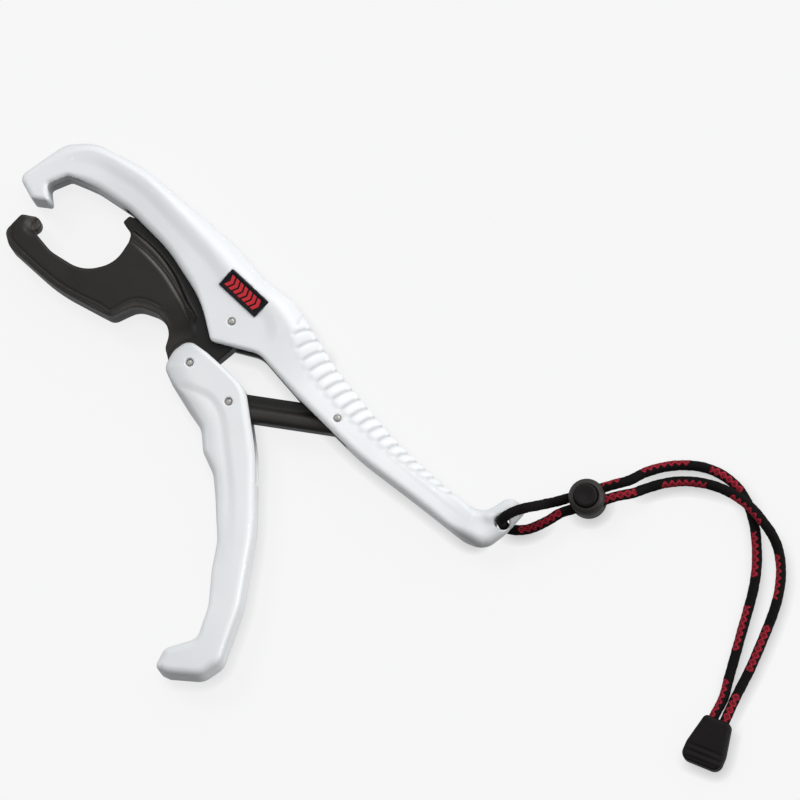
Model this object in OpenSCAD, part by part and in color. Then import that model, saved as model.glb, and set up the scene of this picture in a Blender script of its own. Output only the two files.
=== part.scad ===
// Fish lip grip: a one-handed lever tool with a fixed upper jaw, a swinging
// lower jaw, a finger trigger, a toggle link and a corded wrist lanyard.
// The tool lies on its side. The origin is on the jaw pivot axis at the
// back face, +X runs from the pivot to the lanyard hole, +Z leaves the near
// face. All sizes are in millimetres.

/* [Body] */
// Thickness of the tool across its two moulded halves
thick = 19; // [18.6:0.1:20]
// Width of the open channel between the two cheeks
slot_w = 10.2; // [10:0.1:10.6]
// Size of the stepped rounding along the moulded edges
edge_r = 2; // [1:0.25:2.5]
// Number of grip notches over the back of the handle
rib_count = 20; // [12:1:20]

/* [Moving pieces] */
// Thickness of the jaw blade and of the toggle link
blade_t = 9; // [8.6:0.1:9]
// Thickness of the lower jaw outside the channel
jaw_t = 17; // [15:0.5:17]
// Height of the toggle link across each eye
link_h = 9.4; // [8:0.2:9.6]

/* [Pins and screws] */
// Diameter of the four steel pivot pins
pin_d = 2.5; // [2.3:0.1:2.6]
// Radial running clearance of a pin in its moving part
run_fit = 0.05; // [0.03:0.01:0.08]
// Radial room around the pin at the trigger end of the toggle link
eye_play = 0.55; // [0.5:0.05:0.7]
// Diameter of the self-tapping screws
screw_d = 2.2; // [2:0.1:2.4]

/* [Lanyard] */
// Diameter of the woven cord
cord_d = 3.9; // [3.4:0.1:4]
// Diameter of the cord lock barrel
lock_d = 13.7; // [13.4:0.1:15]
// Travel of the cord lock button
button_travel = 1.9; // [1.2:0.1:1.9]

/* [Hidden] */
$fn = 48;
arc_step = 12; // largest angle between points of a corner arc
mid = thick / 2; // joint plane of the moulded halves

// Centres of the four pins and of the lanyard hole
JAW_PIVOT = [0, 0];
TRIGGER_PIVOT = [-3.34, -21.73];
LINK_FRONT = [17.5, -25.01];
LINK_REAR = [54.38, -5.98];
LANYARD_HOLE = [127.4, -1.0];

// ---- outlines: [x, y, corner radius], counter-clockwise --------------------
BODY = [
    [-98.6, -2.6, 3.2], [-89.4, -6.9, 1.6], [-83.4, -3.7, 0.9], [-88.1, 1.2, 1.6], [-83.8, 8.2, 2.5],
    [-72, 10.6, 14], [-57, 11.3, 12], [-36.5, 8.1, 50], [-14.5, -0.2, 40], [-2.2, -10.4, 2.6],
    [15.5, -3.5, 9], [36.8, -8.4, 50], [68.6, -13.1, 90], [96, -13.7, 90], [118.4, -14.6, 9],
    [127.6, -13.2, 7], [130.6, -3, 16], [131.6, 8.4, 2.4], [123.6, 9.2, 5], [119.4, -3.2, 7],
    [106, -3.1, 40], [78, -0.2, 100], [42, 8.9, 70], [20.5, 17.6, 7], [13, 20.3, 10], [-2, 20.4, 20],
    [-16, 24.3, 30], [-62, 27.6, 50], [-83, 24.6, 18], [-92, 17.4, 9]];
CHANNEL = [
    [-59.8, -30, 0.1], [62.2, -30, 0.1], [62.2, -1.6, 4], [54, 0.2, 6], [30, 6.6, 20], [12, 13, 10],
    [-20, 15.4, 20], [-46, 16.4, 10], [-59.8, 14.2, 3]];
POCKET = [[68, -9.6, 3], [113.5, -10.6, 3], [113.5, -5.8, 3], [80, -3.4, 20], [68, -0.6, 3]];

JAW_THICK = [
    [-90.4, -22.4, 3], [-85.6, -26.2, 6], [-62, -28.6, 60], [-44, -26.2, 30], [-38.2, -25.3, 4],
    [-33.2, -16.2, 8], [-24.5, -13.6, 8], [-17.5, -15.8, 10], [-14.6, -24, 4], [-8.6, -24, 1],
    [-8.6, -10.5, 4], [-15.4, -6.3, 6], [-21.1, -3.1, 30], [-31, 0.5, 40], [-41, 2.3, 40],
    [-49.9, 2.8, 1.2], [-49.3, -8, 16], [-57.4, -17.5, 14], [-71.6, -18.5, 14], [-79.2, -16.6, 1.6],
    [-84.3, -15.4, 1.8], [-84.0, -12.4, 0.6], [-83.4, -10.6, 0.8], [-89.2, -13.7, 1.6]];
JAW_STEP = [
    [-18, -14, 2], [-11, -12, 2], [-12.5, -5.2, 4], [-18.4, -2.4, 12], [-27.9, 2.6, 40], [-39, 5.6, 40],
    [-51.6, 6.6, 0.8], [-49.8, 0, 3]];
JAW_BLADE = [
    [-48.2, -9, 8], [-44, -12.6, 8], [-33, -13, 8], [-24.5, -12.2, 8], [-16.8, -14.6, 8], [-13.4, -23.6, 4],
    [-9.2, -27.6, 5.5], [2.6, -27.6, 5.5], [3.3, -17.4, 4], [5.6, -8.4, 5], [7.4, 6.5, 7], [-4, 10.4, 12],
    [-30, 12.2, 30], [-47, 12.4, 20], [-56.4, 9.9, 1], [-57, 6.6, 0.8], [-51.8, 5, 3], [-49.2, -2, 8]];

TRIGGER = [
    [-11.4, -21.6, 8], [-10.4, -28.6, 5], [-3.6, -32.4, 5], [7, -36.6, 12], [14.8, -39.2, 8],
    [20.4, -45.6, 8], [28.8, -50.2, 10], [35.4, -57.4, 10], [45.4, -69.2, 14], [50.6, -79.6, 10],
    [58.0, -91.4, 20], [61.8, -103.4, 5], [54.0, -113.6, 4], [55.4, -122.0, 2.6], [60.4, -121.0, 3],
    [71.2, -114.4, 7], [74.2, -105.8, 7], [67.4, -84.2, 40], [53.8, -57.4, 80], [36.4, -34, 60],
    [19.2, -17.0, 12], [7.5, -15.6, 20], [-0.4, -14.8, 7], [-9.2, -14.8, 8]];
FORK = [
    [-20, -10, 0.1], [-20, -30.2, 0.1], [3, -30.2, 4], [13, -32.4, 8], [26, -36, 6], [40, -45.5, 3],
    [52, -36, 0.1], [52, -10, 0.1]];

// ---- outline functions -----------------------------------------------------
// Points that replace a corner by an arc, made smaller where the sides are short
function corner(before, point, after, radius) =
    let (to_before = (before - point) / norm(before - point),
         to_after = (after - point) / norm(after - point),
         angle = acos(max(-1, min(1, to_before * to_after))))
    angle > 178.5 ? [point] :
    let (setback = min(radius / tan(angle / 2), 0.48 * min(norm(before - point), norm(after - point))),
         fitted = setback * tan(angle / 2),
         bisector = (to_before + to_after) / norm(to_before + to_after),
         centre = point + bisector * fitted / sin(angle / 2),
         first = point + to_before * setback - centre,
         last = point + to_after * setback - centre,
         start = atan2(first.y, first.x),
         sweep = (atan2(last.y, last.x) - start + 540) % 360 - 180,
         count = max(1, ceil(abs(sweep) / arc_step)))
    [for (i = [0:count]) centre + fitted * [cos(start + sweep * i / count), sin(start + sweep * i / count)]];

function xy(entry) = [entry.x, entry.y];

// The x, y of the corner at an index that may run off either end of the list
function corner_xy(corners, i) = xy(corners[(i + len(corners)) % len(corners)]);

// Rounded outline of a list of corners
function outline(corners) =
    [for (i = [0:len(corners) - 1])
        each corner(corner_xy(corners, i - 1), xy(corners[i]), corner_xy(corners, i + 1), corners[i][2])];

// The same corners moved inwards by a distance, with their radii to match
function inset(corners, distance) =
    [for (i = [0:len(corners) - 1])
        let (point = xy(corners[i]),
             before = corner_xy(corners, i - 1),
             after = corner_xy(corners, i + 1),
             side_in = (point - before) / norm(point - before),
             side_out = (after - point) / norm(after - point),
             normal_in = [-side_in.y, side_in.x],
             normal_out = [-side_out.y, side_out.x],
             moved = point + distance * (normal_in + normal_out) / (1 + normal_in * normal_out),
             convex = side_in.x * side_out.y - side_in.y * side_out.x > 0,
             radius = corners[i][2])
        [moved.x, moved.y, convex ? max(radius - distance, 0.3) : radius + distance]];

// Smooth curve through stations, with a number of spans to each stretch
function curve(stations, spans) = let (last = len(stations) - 1)
    [for (i = [0:last - 1]) for (k = [0:(i == last - 1 ? spans : spans - 1)])
        let (t = k / spans,
             before = stations[max(i - 1, 0)],
             from = stations[i],
             to = stations[i + 1],
             after = stations[min(i + 2, last)])
        0.5 * (2 * from + (to - before) * t
            + (2 * before - 5 * from + 4 * to - after) * t * t
            + (3 * from - before - 3 * to + after) * t * t * t)];

// Point at a distance along and across a direction, measured from a place
function offset_point(place, angle, along, across) =
    place + along * [cos(angle), sin(angle)] + across * [-sin(angle), cos(angle)];

// ---- solid helpers ---------------------------------------------------------
// Children moved to a place and turned about Z
module placed(place, angle, z = 0) {
    translate([place.x, place.y, z]) rotate([0, 0, angle]) children();
}

// Round bar along Z; the default heights pass right through the tool
module rod(place, radius, bottom = -1, top = 40) {
    translate([place.x, place.y, bottom]) cylinder(h = top - bottom, r = radius);
}

// Box centred in X and Y
module box(size, bottom) {
    translate([-size.x / 2, -size.y / 2, bottom]) cube(size);
}

// Flat slab of an outline
module slab(corners, bottom, top) {
    translate([0, 0, bottom]) linear_extrude(top - bottom) polygon(outline(corners));
}

// Slab centred on the joint plane
module mid_slab(corners, thickness) {
    slab(corners, mid - thickness / 2, mid + thickness / 2);
}

// Stepped edge, as fractions of its radius: inset of each step, and depths
// below the face where the steps start and end
EDGE_INSETS = [0.126, 0.35, 0.7];
EDGE_DEPTHS = [0.62, 0.32, 0.12, 0];
step_overlap = 0.01;

// Slab with a stepped edge around its top, or around its bottom
module rounded_slab(corners, bottom, top, radius, at_top) {
    depths = EDGE_DEPTHS * radius;
    for (i = [0:2]) {
        step = inset(corners, EDGE_INSETS[i] * radius);
        if (at_top) slab(step, top - depths[i] - step_overlap, top - depths[i + 1]);
        else slab(step, bottom + depths[i + 1], bottom + depths[i] + step_overlap);
    }
    if (at_top) slab(corners, bottom, top - depths[0]);
    else slab(corners, bottom + depths[0], top);
}

// Closed round tube along a path
module tube(path, radius, sides) {
    last = len(path) - 1;
    points = [for (i = [0:last])
        let (run = path[min(i + 1, last)] - path[max(i - 1, 0)],
             tangent = run / norm(run),
             sideways = cross(tangent, abs(tangent.z) > 0.9 ? [0.83, 0.56, 0] : [0, 0, 1]),
             side = sideways / norm(sideways),
             up = cross(side, tangent))
        for (k = [0:sides - 1])
            path[i] + radius * (cos(360 * k / sides) * side + sin(360 * k / sides) * up)];
    walls = [for (i = [0:last - 1]) for (k = [0:sides - 1])
        let (next = (k + 1) % sides)
        [i * sides + k, (i + 1) * sides + k, (i + 1) * sides + next, i * sides + next]];
    polyhedron(points = points, faces = concat(
        [[for (k = [0:sides - 1]) k]],
        walls,
        [[for (k = [sides - 1:-1:0]) last * sides + k]]));
}

// ---- pins and washers ------------------------------------------------------
pin_r = pin_d / 2;
pin_floor = 1.6; // material left under a pin at the back face
pin_bottom = pin_floor + 0.1;
pin_top = thick - 0.7;
recess_r = 1.6;
recess_depth = 1.2;
// Domed pin end: [fraction of the pin radius, distance from the end]
PIN_DOME = [[0.55, 0.05], [0.85, 0.22], [1, 0.5]];
washer_r = 4.2;
washer_t = 0.5;
washer_gap = 0.05;

module pivot_pin(place) {
    length = pin_top - pin_bottom;
    translate([place.x, place.y, pin_bottom]) rotate_extrude() polygon([
        [0, 0],
        for (i = [0:2]) [pin_r * PIN_DOME[i][0], PIN_DOME[i][1]],
        for (i = [2:-1:0]) [pin_r * PIN_DOME[i][0], length - PIN_DOME[i][1]],
        [0, length]]);
}

// Pin hole: open with a wider recess at the near face, blind at the back face
module pin_hole(place, near) {
    rod(place, pin_r, near ? -1 : pin_floor);
    if (near) rod(place, recess_r, thick - recess_depth, thick + 1);
}

// Hole through a moving part
module running_hole(place) {
    rod(place, pin_r + run_fit);
}

// A washer on each side of the blade
module washer_pair(place) {
    for (z = [mid - slot_w / 2 + washer_gap, mid + blade_t / 2 + washer_gap])
        difference() {
            rod(place, washer_r, z, z + washer_t);
            rod(place, pin_r + run_fit, z - 1, z + 2);
        }
}

// ---- screws ----------------------------------------------------------------
head_r = 2.1;
head_bottom = 0.5;
head_top = 2;
screw_tip = thick - 3.6;
screw_hole_end = thick - 3.4;
seat_fit = 0.2; // radial room around the head
shank_fit = 0.15; // radial room around the shank in the far half
DRIVE_SLOT = [2.6, 0.5, 0.9];

// Pan head screw with a cross slot that enters from the back face
module screw(place) {
    difference() {
        union() {
            rod(place, head_r, head_bottom, head_top);
            rod(place, screw_d / 2, head_top - 0.1, screw_tip);
        }
        for (angle = [0, 90]) placed(place, angle) box(DRIVE_SLOT, head_bottom - 0.1);
    }
}

// Blind holes in the near half, clearance holes with head seats in the far half
module screw_holes(places, near) {
    for (place = places)
        if (near) rod(place, screw_d / 2, mid - 1, screw_hole_end);
        else {
            rod(place, head_r + seat_fit, -1, head_top + 0.02);
            rod(place, screw_d / 2 + shank_fit, -1, mid + 1);
        }
}

// ---- moulded halves --------------------------------------------------------
module half_blank(corners, near) {
    rounded_slab(corners, near ? mid : 0, near ? thick : mid, edge_r, near);
}

// Cutter for one half of a hollow, run 1 mm past the joint plane
module half_hollow(corners, depth, near) {
    slab(corners, near ? mid - 1 : mid - depth, near ? mid + depth : mid + 1);
}

// ---- body ------------------------------------------------------------------
BODY_SCREWS = [[-77, 17.4], [-28, 20], [31, 9.2], [65.2, -5.4], [117, -8.4]];
hole_r = 2.7;
pocket_half = 4.4; // half depth of the float core pocket
core_gap = 0.3;

// Grip notches along the back of the handle
RIB_LINE = [[21, 18.2], [42, 10.0], [78, 0.6], [113, -2.4]];
rib_path = curve(RIB_LINE, 20);
rib_first = 2; // path points where the notches start, and how many they span
rib_span = 56;
notch_r = 1.5;
notch_shift = [0.5, 1.1];

// The lanyard end thins from each face in steps, to these heights
lobe_bottom = 4.6;
lobe_top = 15.4;
lobe_x = 119;
lobe_pitch = 1.7;
lobe_steps = 3;

// Badge let into the near face, above the jaw pivot
BADGE_CENTRE = [-2.7, 11.2];
badge_angle = -6.7;
badge_z = thick - 1;
badge_floor = 0.55;
BADGE_RECESS = [18.8, 7.8];
BADGE_PLATE = BADGE_RECESS - [0.2, 0.2];
BADGE_WINDOW = BADGE_PLATE - [2, 2];
CHEVRON = [[-1.25, -2.35], [0.2, -2.35], [1.25, 0], [0.2, 2.35], [-1.25, 2.35], [-0.2, 0]];
chevron_pitch = 2.2;

module rib_notches() {
    for (i = [0:rib_count - 1])
        rod(rib_path[round(rib_first + i * rib_span / (rib_count - 1))] + notch_shift, notch_r);
}

module lobe_cuts(near) {
    for (i = [0:lobe_steps - 1]) {
        x = lobe_x + lobe_pitch * i;
        near_z = thick - (i + 1) * (thick - lobe_top) / lobe_steps;
        far_z = (i + 1) * lobe_bottom / lobe_steps;
        if (near) translate([x, -20, near_z]) cube([20, 40, 10]);
        else translate([x, -20, -10]) cube([20, 40, 10 + far_z]);
    }
}

module badge_frame(z) {
    placed(BADGE_CENTRE, badge_angle, z) children();
}

module body_half(near) {
    difference() {
        half_blank(BODY, near);
        half_hollow(CHANNEL, slot_w / 2, near);
        half_hollow(POCKET, pocket_half, near);
        pin_hole(JAW_PIVOT, near);
        pin_hole(LINK_REAR, near);
        rod(LANYARD_HOLE, hole_r);
        lobe_cuts(near);
        screw_holes(BODY_SCREWS, near);
        rib_notches();
        if (near) badge_frame(badge_z) box([each BADGE_RECESS, 2], 0);
    }
}

module body_near_half() { color("white") body_half(true); }
module body_far_half() { color("white") body_half(false); }

module handle_float_core() {
    color("lightyellow") mid_slab(inset(POCKET, core_gap), 2 * (pocket_half - core_gap));
}

module body_screws() { color("silver") for (place = BODY_SCREWS) screw(place); }

// Plate with a raised rim
module badge_plate() {
    color("black") badge_frame(badge_z) {
        box([each BADGE_PLATE, badge_floor], 0);
        difference() {
            box([each BADGE_PLATE, 0.45], 0.5);
            box([each BADGE_WINDOW, 2], 0.4);
        }
    }
}

// Row of chevrons on the floor of the badge
module badge_inlay() {
    color("red") badge_frame(badge_z + badge_floor)
        for (i = [-3:3]) translate([i * chevron_pitch, 0, 0]) linear_extrude(0.3) polygon(CHEVRON);
}

module jaw_pivot_pin() { color("silver") pivot_pin(JAW_PIVOT); }
module link_rear_pin() { color("silver") pivot_pin(LINK_REAR); }
module jaw_washers() { color("ivory") washer_pair(JAW_PIVOT); }

// ---- lower jaw -------------------------------------------------------------
jaw_step_t = 12.8;
jaw_edge_r = 1.6;
trigger_relief_r = 9.6; // room in the thick part around the trigger pivot
JAW_TIP = [-84.1, -13.8];
jaw_tip_r = 2.9;
jaw_tip_half = 4;

module lower_jaw() {
    color("dimgray") difference() {
        union() {
            mid_slab(JAW_BLADE, blade_t);
            mid_slab(JAW_STEP, jaw_step_t);
            difference() {
                union() {
                    rounded_slab(JAW_THICK, mid, mid + jaw_t / 2, jaw_edge_r, true);
                    rounded_slab(JAW_THICK, mid - jaw_t / 2, mid, jaw_edge_r, false);
                }
                rod(TRIGGER_PIVOT, trigger_relief_r);
            }
            rod(JAW_TIP, jaw_tip_r, mid - jaw_tip_half, mid + jaw_tip_half);
        }
        running_hole(JAW_PIVOT);
        running_hole(TRIGGER_PIVOT);
    }
}

// ---- trigger ---------------------------------------------------------------
TRIGGER_SCREWS = [[14.5, -35.4], [45.2, -60.5], [66.5, -107]];

module trigger_half(near) {
    difference() {
        half_blank(TRIGGER, near);
        half_hollow(FORK, slot_w / 2, near);
        pin_hole(TRIGGER_PIVOT, near);
        pin_hole(LINK_FRONT, near);
        screw_holes(TRIGGER_SCREWS, near);
    }
}

module trigger_near_half() { color("white") trigger_half(true); }
module trigger_far_half() { color("white") trigger_half(false); }
module trigger_screws() { color("silver") for (place = TRIGGER_SCREWS) screw(place); }
module trigger_pivot_pin() { color("silver") pivot_pin(TRIGGER_PIVOT); }
module trigger_washers() { color("ivory") washer_pair(TRIGGER_PIVOT); }
module link_front_pin() { color("silver") pivot_pin(LINK_FRONT); }

// ---- toggle link -----------------------------------------------------------
web_t = 6;

// Round eye at each end, a full-thickness bar along the lower side and a
// thinner web over the whole height
module toggle_link() {
    run = LINK_REAR - LINK_FRONT;
    length = norm(run);
    lower_y = -link_h / 2 + 0.05;
    blade_z = mid - blade_t / 2;
    color("dimgray") placed(LINK_FRONT, atan2(run.y, run.x)) difference() {
        union() {
            for (x = [0, length]) rod([x, 0], link_h / 2, blade_z, blade_z + blade_t);
            translate([0, lower_y, blade_z]) cube([length, link_h * 0.42, blade_t]);
            translate([0, lower_y, mid - web_t / 2]) cube([length, link_h - 0.1, web_t]);
        }
        rod([0, 0], pin_r + eye_play);
        running_hole([length, 0]);
    }
}

// ---- lanyard cord ----------------------------------------------------------
cord_r = cord_d / 2;
strand_offset = 2.3; // from the cord lock axis to each strand
// Cord lock centre, direction of the strands through it, and their height
LOCK = [146.9, 25.5];
lock_angle = 52.6;
lock_cord_z = 7.1;
// End cap mouth centre, the direction into the cap, and its joint height
CAP = [236.6, -12.9];
cap_angle = -76.3;
cap_joint = 4.1;

// Cord station near the lock; side is in strand offsets, rise from the strand height
function at_lock(along, side, rise = 0) =
    [each offset_point(LOCK, lock_angle, along, side * strand_offset), lock_cord_z + rise];
function at_cap(depth, side) = [each offset_point(CAP, cap_angle, depth, side), cap_joint];

// Cord centreline stations [x, y, z], from the cap through the lanyard hole and back
CORD = [
    at_cap(7.15, -2.05), at_cap(2.5, -2.1), at_cap(-1.5, -2.2),
    [232.7, -4.7, 3.0], [229.7, 2.5, 2.2], [226.5, 10.7, 2.05], [223.2, 19.1, 2.05], [220.1, 27.2, 2.05],
    [216.5, 35.8, 2.05], [211.9, 43.8, 2.05], [205.7, 51.5, 2.05], [200.6, 56.3, 2.05],
    [195.2, 59.9, 2.05], [188.8, 62.3, 2.05], [181.6, 62.7, 2.05], [174.4, 61.0, 2.1],
    [167.8, 57.3, 2.2], [162.2, 52.3, 2.6], [157.8, 46.4, 3.4],
    at_lock(17, 1.05, -1.2), at_lock(11, 1), at_lock(4, 1),
    at_lock(-4, 1), at_lock(-11, 1), at_lock(-14.8, 0.9, 2.6),
    [134.3, 11.4, 14.6], [132.1, 8.1, 18.0], [129.4, 4.2, 18.6], [127.8, 0.7, 18.1],
    [each LANYARD_HOLE, 15.4], [each LANYARD_HOLE, 11], [each LANYARD_HOLE, 6],
    [128.2, -0.9, 2.8], [131.0, 0.4, 2.05], [135.2, 3.9, 2.5],
    at_lock(-17, -1.5, -1.9), at_lock(-11, -1), at_lock(-4, -1),
    at_lock(4, -1), at_lock(11, -1), at_lock(17, -1.15, -1.2),
    [161.5, 41.5, 3.4], [165.9, 47.4, 2.6], [171.5, 52.5, 2.2], [178.1, 56.2, 2.5], [184.7, 58.3, 3.6],
    [191.4, 59.1, 5.2], [198.3, 58.8, 6.15], [205.1, 57.2, 6.0], [210.9, 55.2, 4.6], [215.9, 52.1, 3.0],
    [221.1, 46.6, 2.15], [225.4, 39.5, 2.05], [228.4, 31.8, 2.05], [231.3, 21.2, 2.05],
    [233.9, 10.5, 2.05], [235.3, 2.9, 2.3], [236.4, -2.7, 3.0],
    at_cap(-1.5, 2.2), at_cap(2.5, 2.1), at_cap(7.15, 2.05)];

module lanyard_cord() { color("black") tube(curve(CORD, 3), cord_r, 12); }

// ---- end cap ---------------------------------------------------------------
// Outlines [x, y, corner radius] with the mouth at y = 0 and the cap towards -y
CAP_SHAPE = [
    [-5.3, 0.4, 1.8], [-7.9, -11.5, 10], [-7.9, -18.2, 3.5],
    [7.9, -18.2, 3.5], [7.9, -11.5, 10], [5.3, 0.4, 1.8]];
CAP_HOLLOW = [
    [-4.25, 2, 0.2], [-4.4, -6, 1], [-6, -16.4, 2],
    [6, -16.4, 2], [4.4, -6, 1], [4.25, 2, 0.2]];
KNOT = [[-4, -1.9, 1.6], [4, -1.9, 1.6], [4, 1.9, 1.6], [-4, 1.9, 1.6]];
knot_y = -10.2;
cap_bottom = 0.05;
cap_top = 8.2;
cap_edge_r = 1.4;

module cap_frame() { placed(CAP, cap_angle + 90) children(); }

// Heat-sealed knot that holds both ends of the cord in the cap
module cord_end_knot() {
    color("black") cap_frame() translate([0, knot_y, cap_joint]) rotate([90, 0, 0])
        slab(KNOT, -3.2, 4.2);
}

module cord_cap(near) {
    difference() {
        rounded_slab(CAP_SHAPE, near ? cap_joint : cap_bottom, near ? cap_top : cap_joint, cap_edge_r, near);
        if (near) slab(CAP_HOLLOW, 3, 6.2);
        else slab(CAP_HOLLOW, 2, 5);
    }
}

module cord_cap_near() { color("dimgray") cap_frame() cord_cap(true); }
module cord_cap_far() { color("dimgray") cap_frame() cord_cap(false); }

// ---- cord lock -------------------------------------------------------------
lock_r = lock_d / 2;
barrel_h = 13.6;
button_r = 4.4;
button_top = 15; // start of the chamfer on the button
plunger_r = 5.4;
lock_fit = 0.1;
spring_r = 3.6;
spring_bottom = 1.3;
spring_h = 2.4;
spring_turns = 3;
wire_r = 0.28;

module lock_frame() { placed(LOCK, lock_angle) children(); }

// Cutter for both strands, with a gap below them and a given height
module strand_passage(gap, height) {
    box([20, 2 * (strand_offset + cord_r) + 0.5, height], lock_cord_z - cord_r - gap);
}

module cordlock_barrel() {
    color("dimgray") lock_frame() difference() {
        union() {
            translate([0, 0, 0.1]) cylinder(h = 1, r1 = lock_r - 0.8, r2 = lock_r);
            rod([0, 0], lock_r, 1.09, barrel_h - 1);
            translate([0, 0, barrel_h - 1.01]) cylinder(h = 1.01, r1 = lock_r, r2 = lock_r - 0.9);
        }
        rod([0, 0], plunger_r + lock_fit, 1, barrel_h - 1.5);
        rod([0, 0], button_r + lock_fit, 1, 21);
        strand_passage(0.25, cord_d + 0.5);
    }
}

module cordlock_plunger() {
    color("black") lock_frame() difference() {
        union() {
            rod([0, 0], plunger_r, 4, barrel_h - 1.6);
            rod([0, 0], button_r, 4.5, button_top);
            translate([0, 0, button_top]) cylinder(h = 0.9, r1 = button_r, r2 = button_r - 0.8);
        }
        strand_passage(0.15, cord_d + button_travel + 0.3);
    }
}

module cordlock_spring() {
    count = 12 * spring_turns;
    path = [for (i = [0:count])
        [spring_r * cos(30 * i), spring_r * sin(30 * i), spring_bottom + i * spring_h / count]];
    color("silver") lock_frame() tube(path, wire_r, 8);
}

body_near_half();
body_far_half();
handle_float_core();
body_screws();
badge_plate();
badge_inlay();
jaw_pivot_pin();
jaw_washers();
link_rear_pin();
lower_jaw();
trigger_near_half();
trigger_far_half();
trigger_screws();
trigger_pivot_pin();
trigger_washers();
link_front_pin();
toggle_link();
lanyard_cord();
cord_end_knot();
cord_cap_near();
cord_cap_far();
cordlock_barrel();
cordlock_plunger();
cordlock_spring();
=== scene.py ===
"""Looks of a hand gripper with a float core, a trigger and a lanyard, lying flat on the floor.

Shapes are drawn in millimetres and turned into metres when a mesh is made. The body runs along x
from the jaw end (-x) to the lanyard end (+x), the trigger hangs to -y, and z rises from the floor.
Body and trigger split at a seam at half thickness: "near" is the half above it, "far" the half
below. Each piece is a distance field, negative inside, sampled on a grid and turned into quads.
"""
import math

import bmesh
import bpy
import numpy as np
from mathutils import Matrix, Vector


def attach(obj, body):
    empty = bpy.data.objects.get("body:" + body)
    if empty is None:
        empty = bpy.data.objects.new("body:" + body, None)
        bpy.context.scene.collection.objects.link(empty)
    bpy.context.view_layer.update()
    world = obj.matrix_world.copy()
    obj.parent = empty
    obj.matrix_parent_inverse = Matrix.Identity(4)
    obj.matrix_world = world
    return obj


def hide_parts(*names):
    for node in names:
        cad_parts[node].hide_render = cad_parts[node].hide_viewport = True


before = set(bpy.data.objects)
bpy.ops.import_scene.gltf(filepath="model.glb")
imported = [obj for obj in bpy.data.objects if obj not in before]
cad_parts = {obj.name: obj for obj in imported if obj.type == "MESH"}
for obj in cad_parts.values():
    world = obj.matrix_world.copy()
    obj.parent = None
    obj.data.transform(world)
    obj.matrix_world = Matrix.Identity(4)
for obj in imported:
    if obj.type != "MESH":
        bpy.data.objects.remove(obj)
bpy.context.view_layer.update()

MM = 0.001
THICK = 19.0
MID = THICK / 2  # height of the seam

# grid cells in mm
CELL = 0.4
LINK_CELL = 0.4
LOCK_CELL = 0.2
CAP_CELL = 0.25
BADGE_CELL = 0.16

# ---------------------------------------------------------------- outlines: x, y, corner radius
BODY = [
    (-98.6, -2.6, 3.2), (-89.4, -6.9, 1.6), (-83.4, -3.7, 0.9), (-88.1, 1.2, 1.6),
    (-83.8, 8.2, 2.5), (-72, 10.6, 14), (-57, 11.3, 12), (-36.5, 8.1, 50), (-14.5, -0.2, 40),
    (-2.2, -10.4, 2.6), (15.5, -3.5, 9), (36.8, -8.4, 50), (68.6, -13.1, 90), (96, -13.7, 90),
    (118.4, -14.6, 9), (127.6, -13.2, 7), (130.6, -3, 16), (131.6, 8.4, 2.4), (123.6, 9.2, 5),
    (119.4, -3.2, 7), (106, -3.1, 40), (78, -0.2, 100), (42, 8.9, 70), (20.5, 17.6, 7),
    (13, 20.3, 10), (-2, 20.4, 20), (-16, 24.3, 30), (-62, 27.6, 50), (-83, 24.6, 18),
    (-92, 17.4, 9)]
# hollow in the body
CHANNEL = [
    (-59.8, -30, 0.1), (62.2, -30, 0.1), (62.2, -1.6, 4), (54, 0.2, 6), (30, 6.6, 20),
    (12, 13, 10), (-20, 15.4, 20), (-46, 16.4, 10), (-59.8, 14.2, 3)]
# second hollow, nearer the lanyard end
POCKET = [(68, -9.6, 3), (113.5, -10.6, 3), (113.5, -5.8, 3), (80, -3.4, 20), (68, -0.6, 3)]
# the jaw at full thickness, its middle step and its thin blade
JAW_THICK = [
    (-90.4, -22.4, 3), (-85.6, -26.2, 6), (-62, -28.6, 60), (-44, -26.2, 30), (-38.2, -25.3, 4),
    (-33.2, -16.2, 8), (-24.5, -13.6, 8), (-17.5, -15.8, 10), (-14.6, -24, 4), (-8.6, -24, 1),
    (-8.6, -10.5, 4), (-15.4, -6.3, 6), (-21.1, -3.1, 30), (-31, 0.5, 40), (-41, 2.3, 40),
    (-49.9, 2.8, 1.2), (-49.3, -8, 16), (-57.4, -17.5, 14), (-71.6, -18.5, 14),
    (-79.2, -16.6, 1.6), (-84.3, -15.4, 1.8), (-84.0, -12.4, 0.6), (-83.4, -10.6, 0.8),
    (-89.2, -13.7, 1.6)]
JAW_STEP = [
    (-18, -14, 2), (-11, -12, 2), (-12.5, -5.2, 4), (-18.4, -2.4, 12), (-27.9, 2.6, 40),
    (-39, 5.6, 40), (-51.6, 6.6, 0.8), (-49.8, 0, 3)]
JAW_BLADE = [
    (-48.2, -9, 8), (-44, -12.6, 8), (-33, -13, 8), (-24.5, -12.2, 8), (-16.8, -14.6, 8),
    (-13.4, -23.6, 4), (-9.2, -27.6, 5.5), (2.6, -27.6, 5.5), (3.3, -17.4, 4), (5.6, -8.4, 5),
    (7.4, 6.5, 7), (-4, 10.4, 12), (-30, 12.2, 30), (-47, 12.4, 20), (-56.4, 9.9, 1),
    (-57, 6.6, 0.8), (-51.8, 5, 3), (-49.2, -2, 8)]
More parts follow.
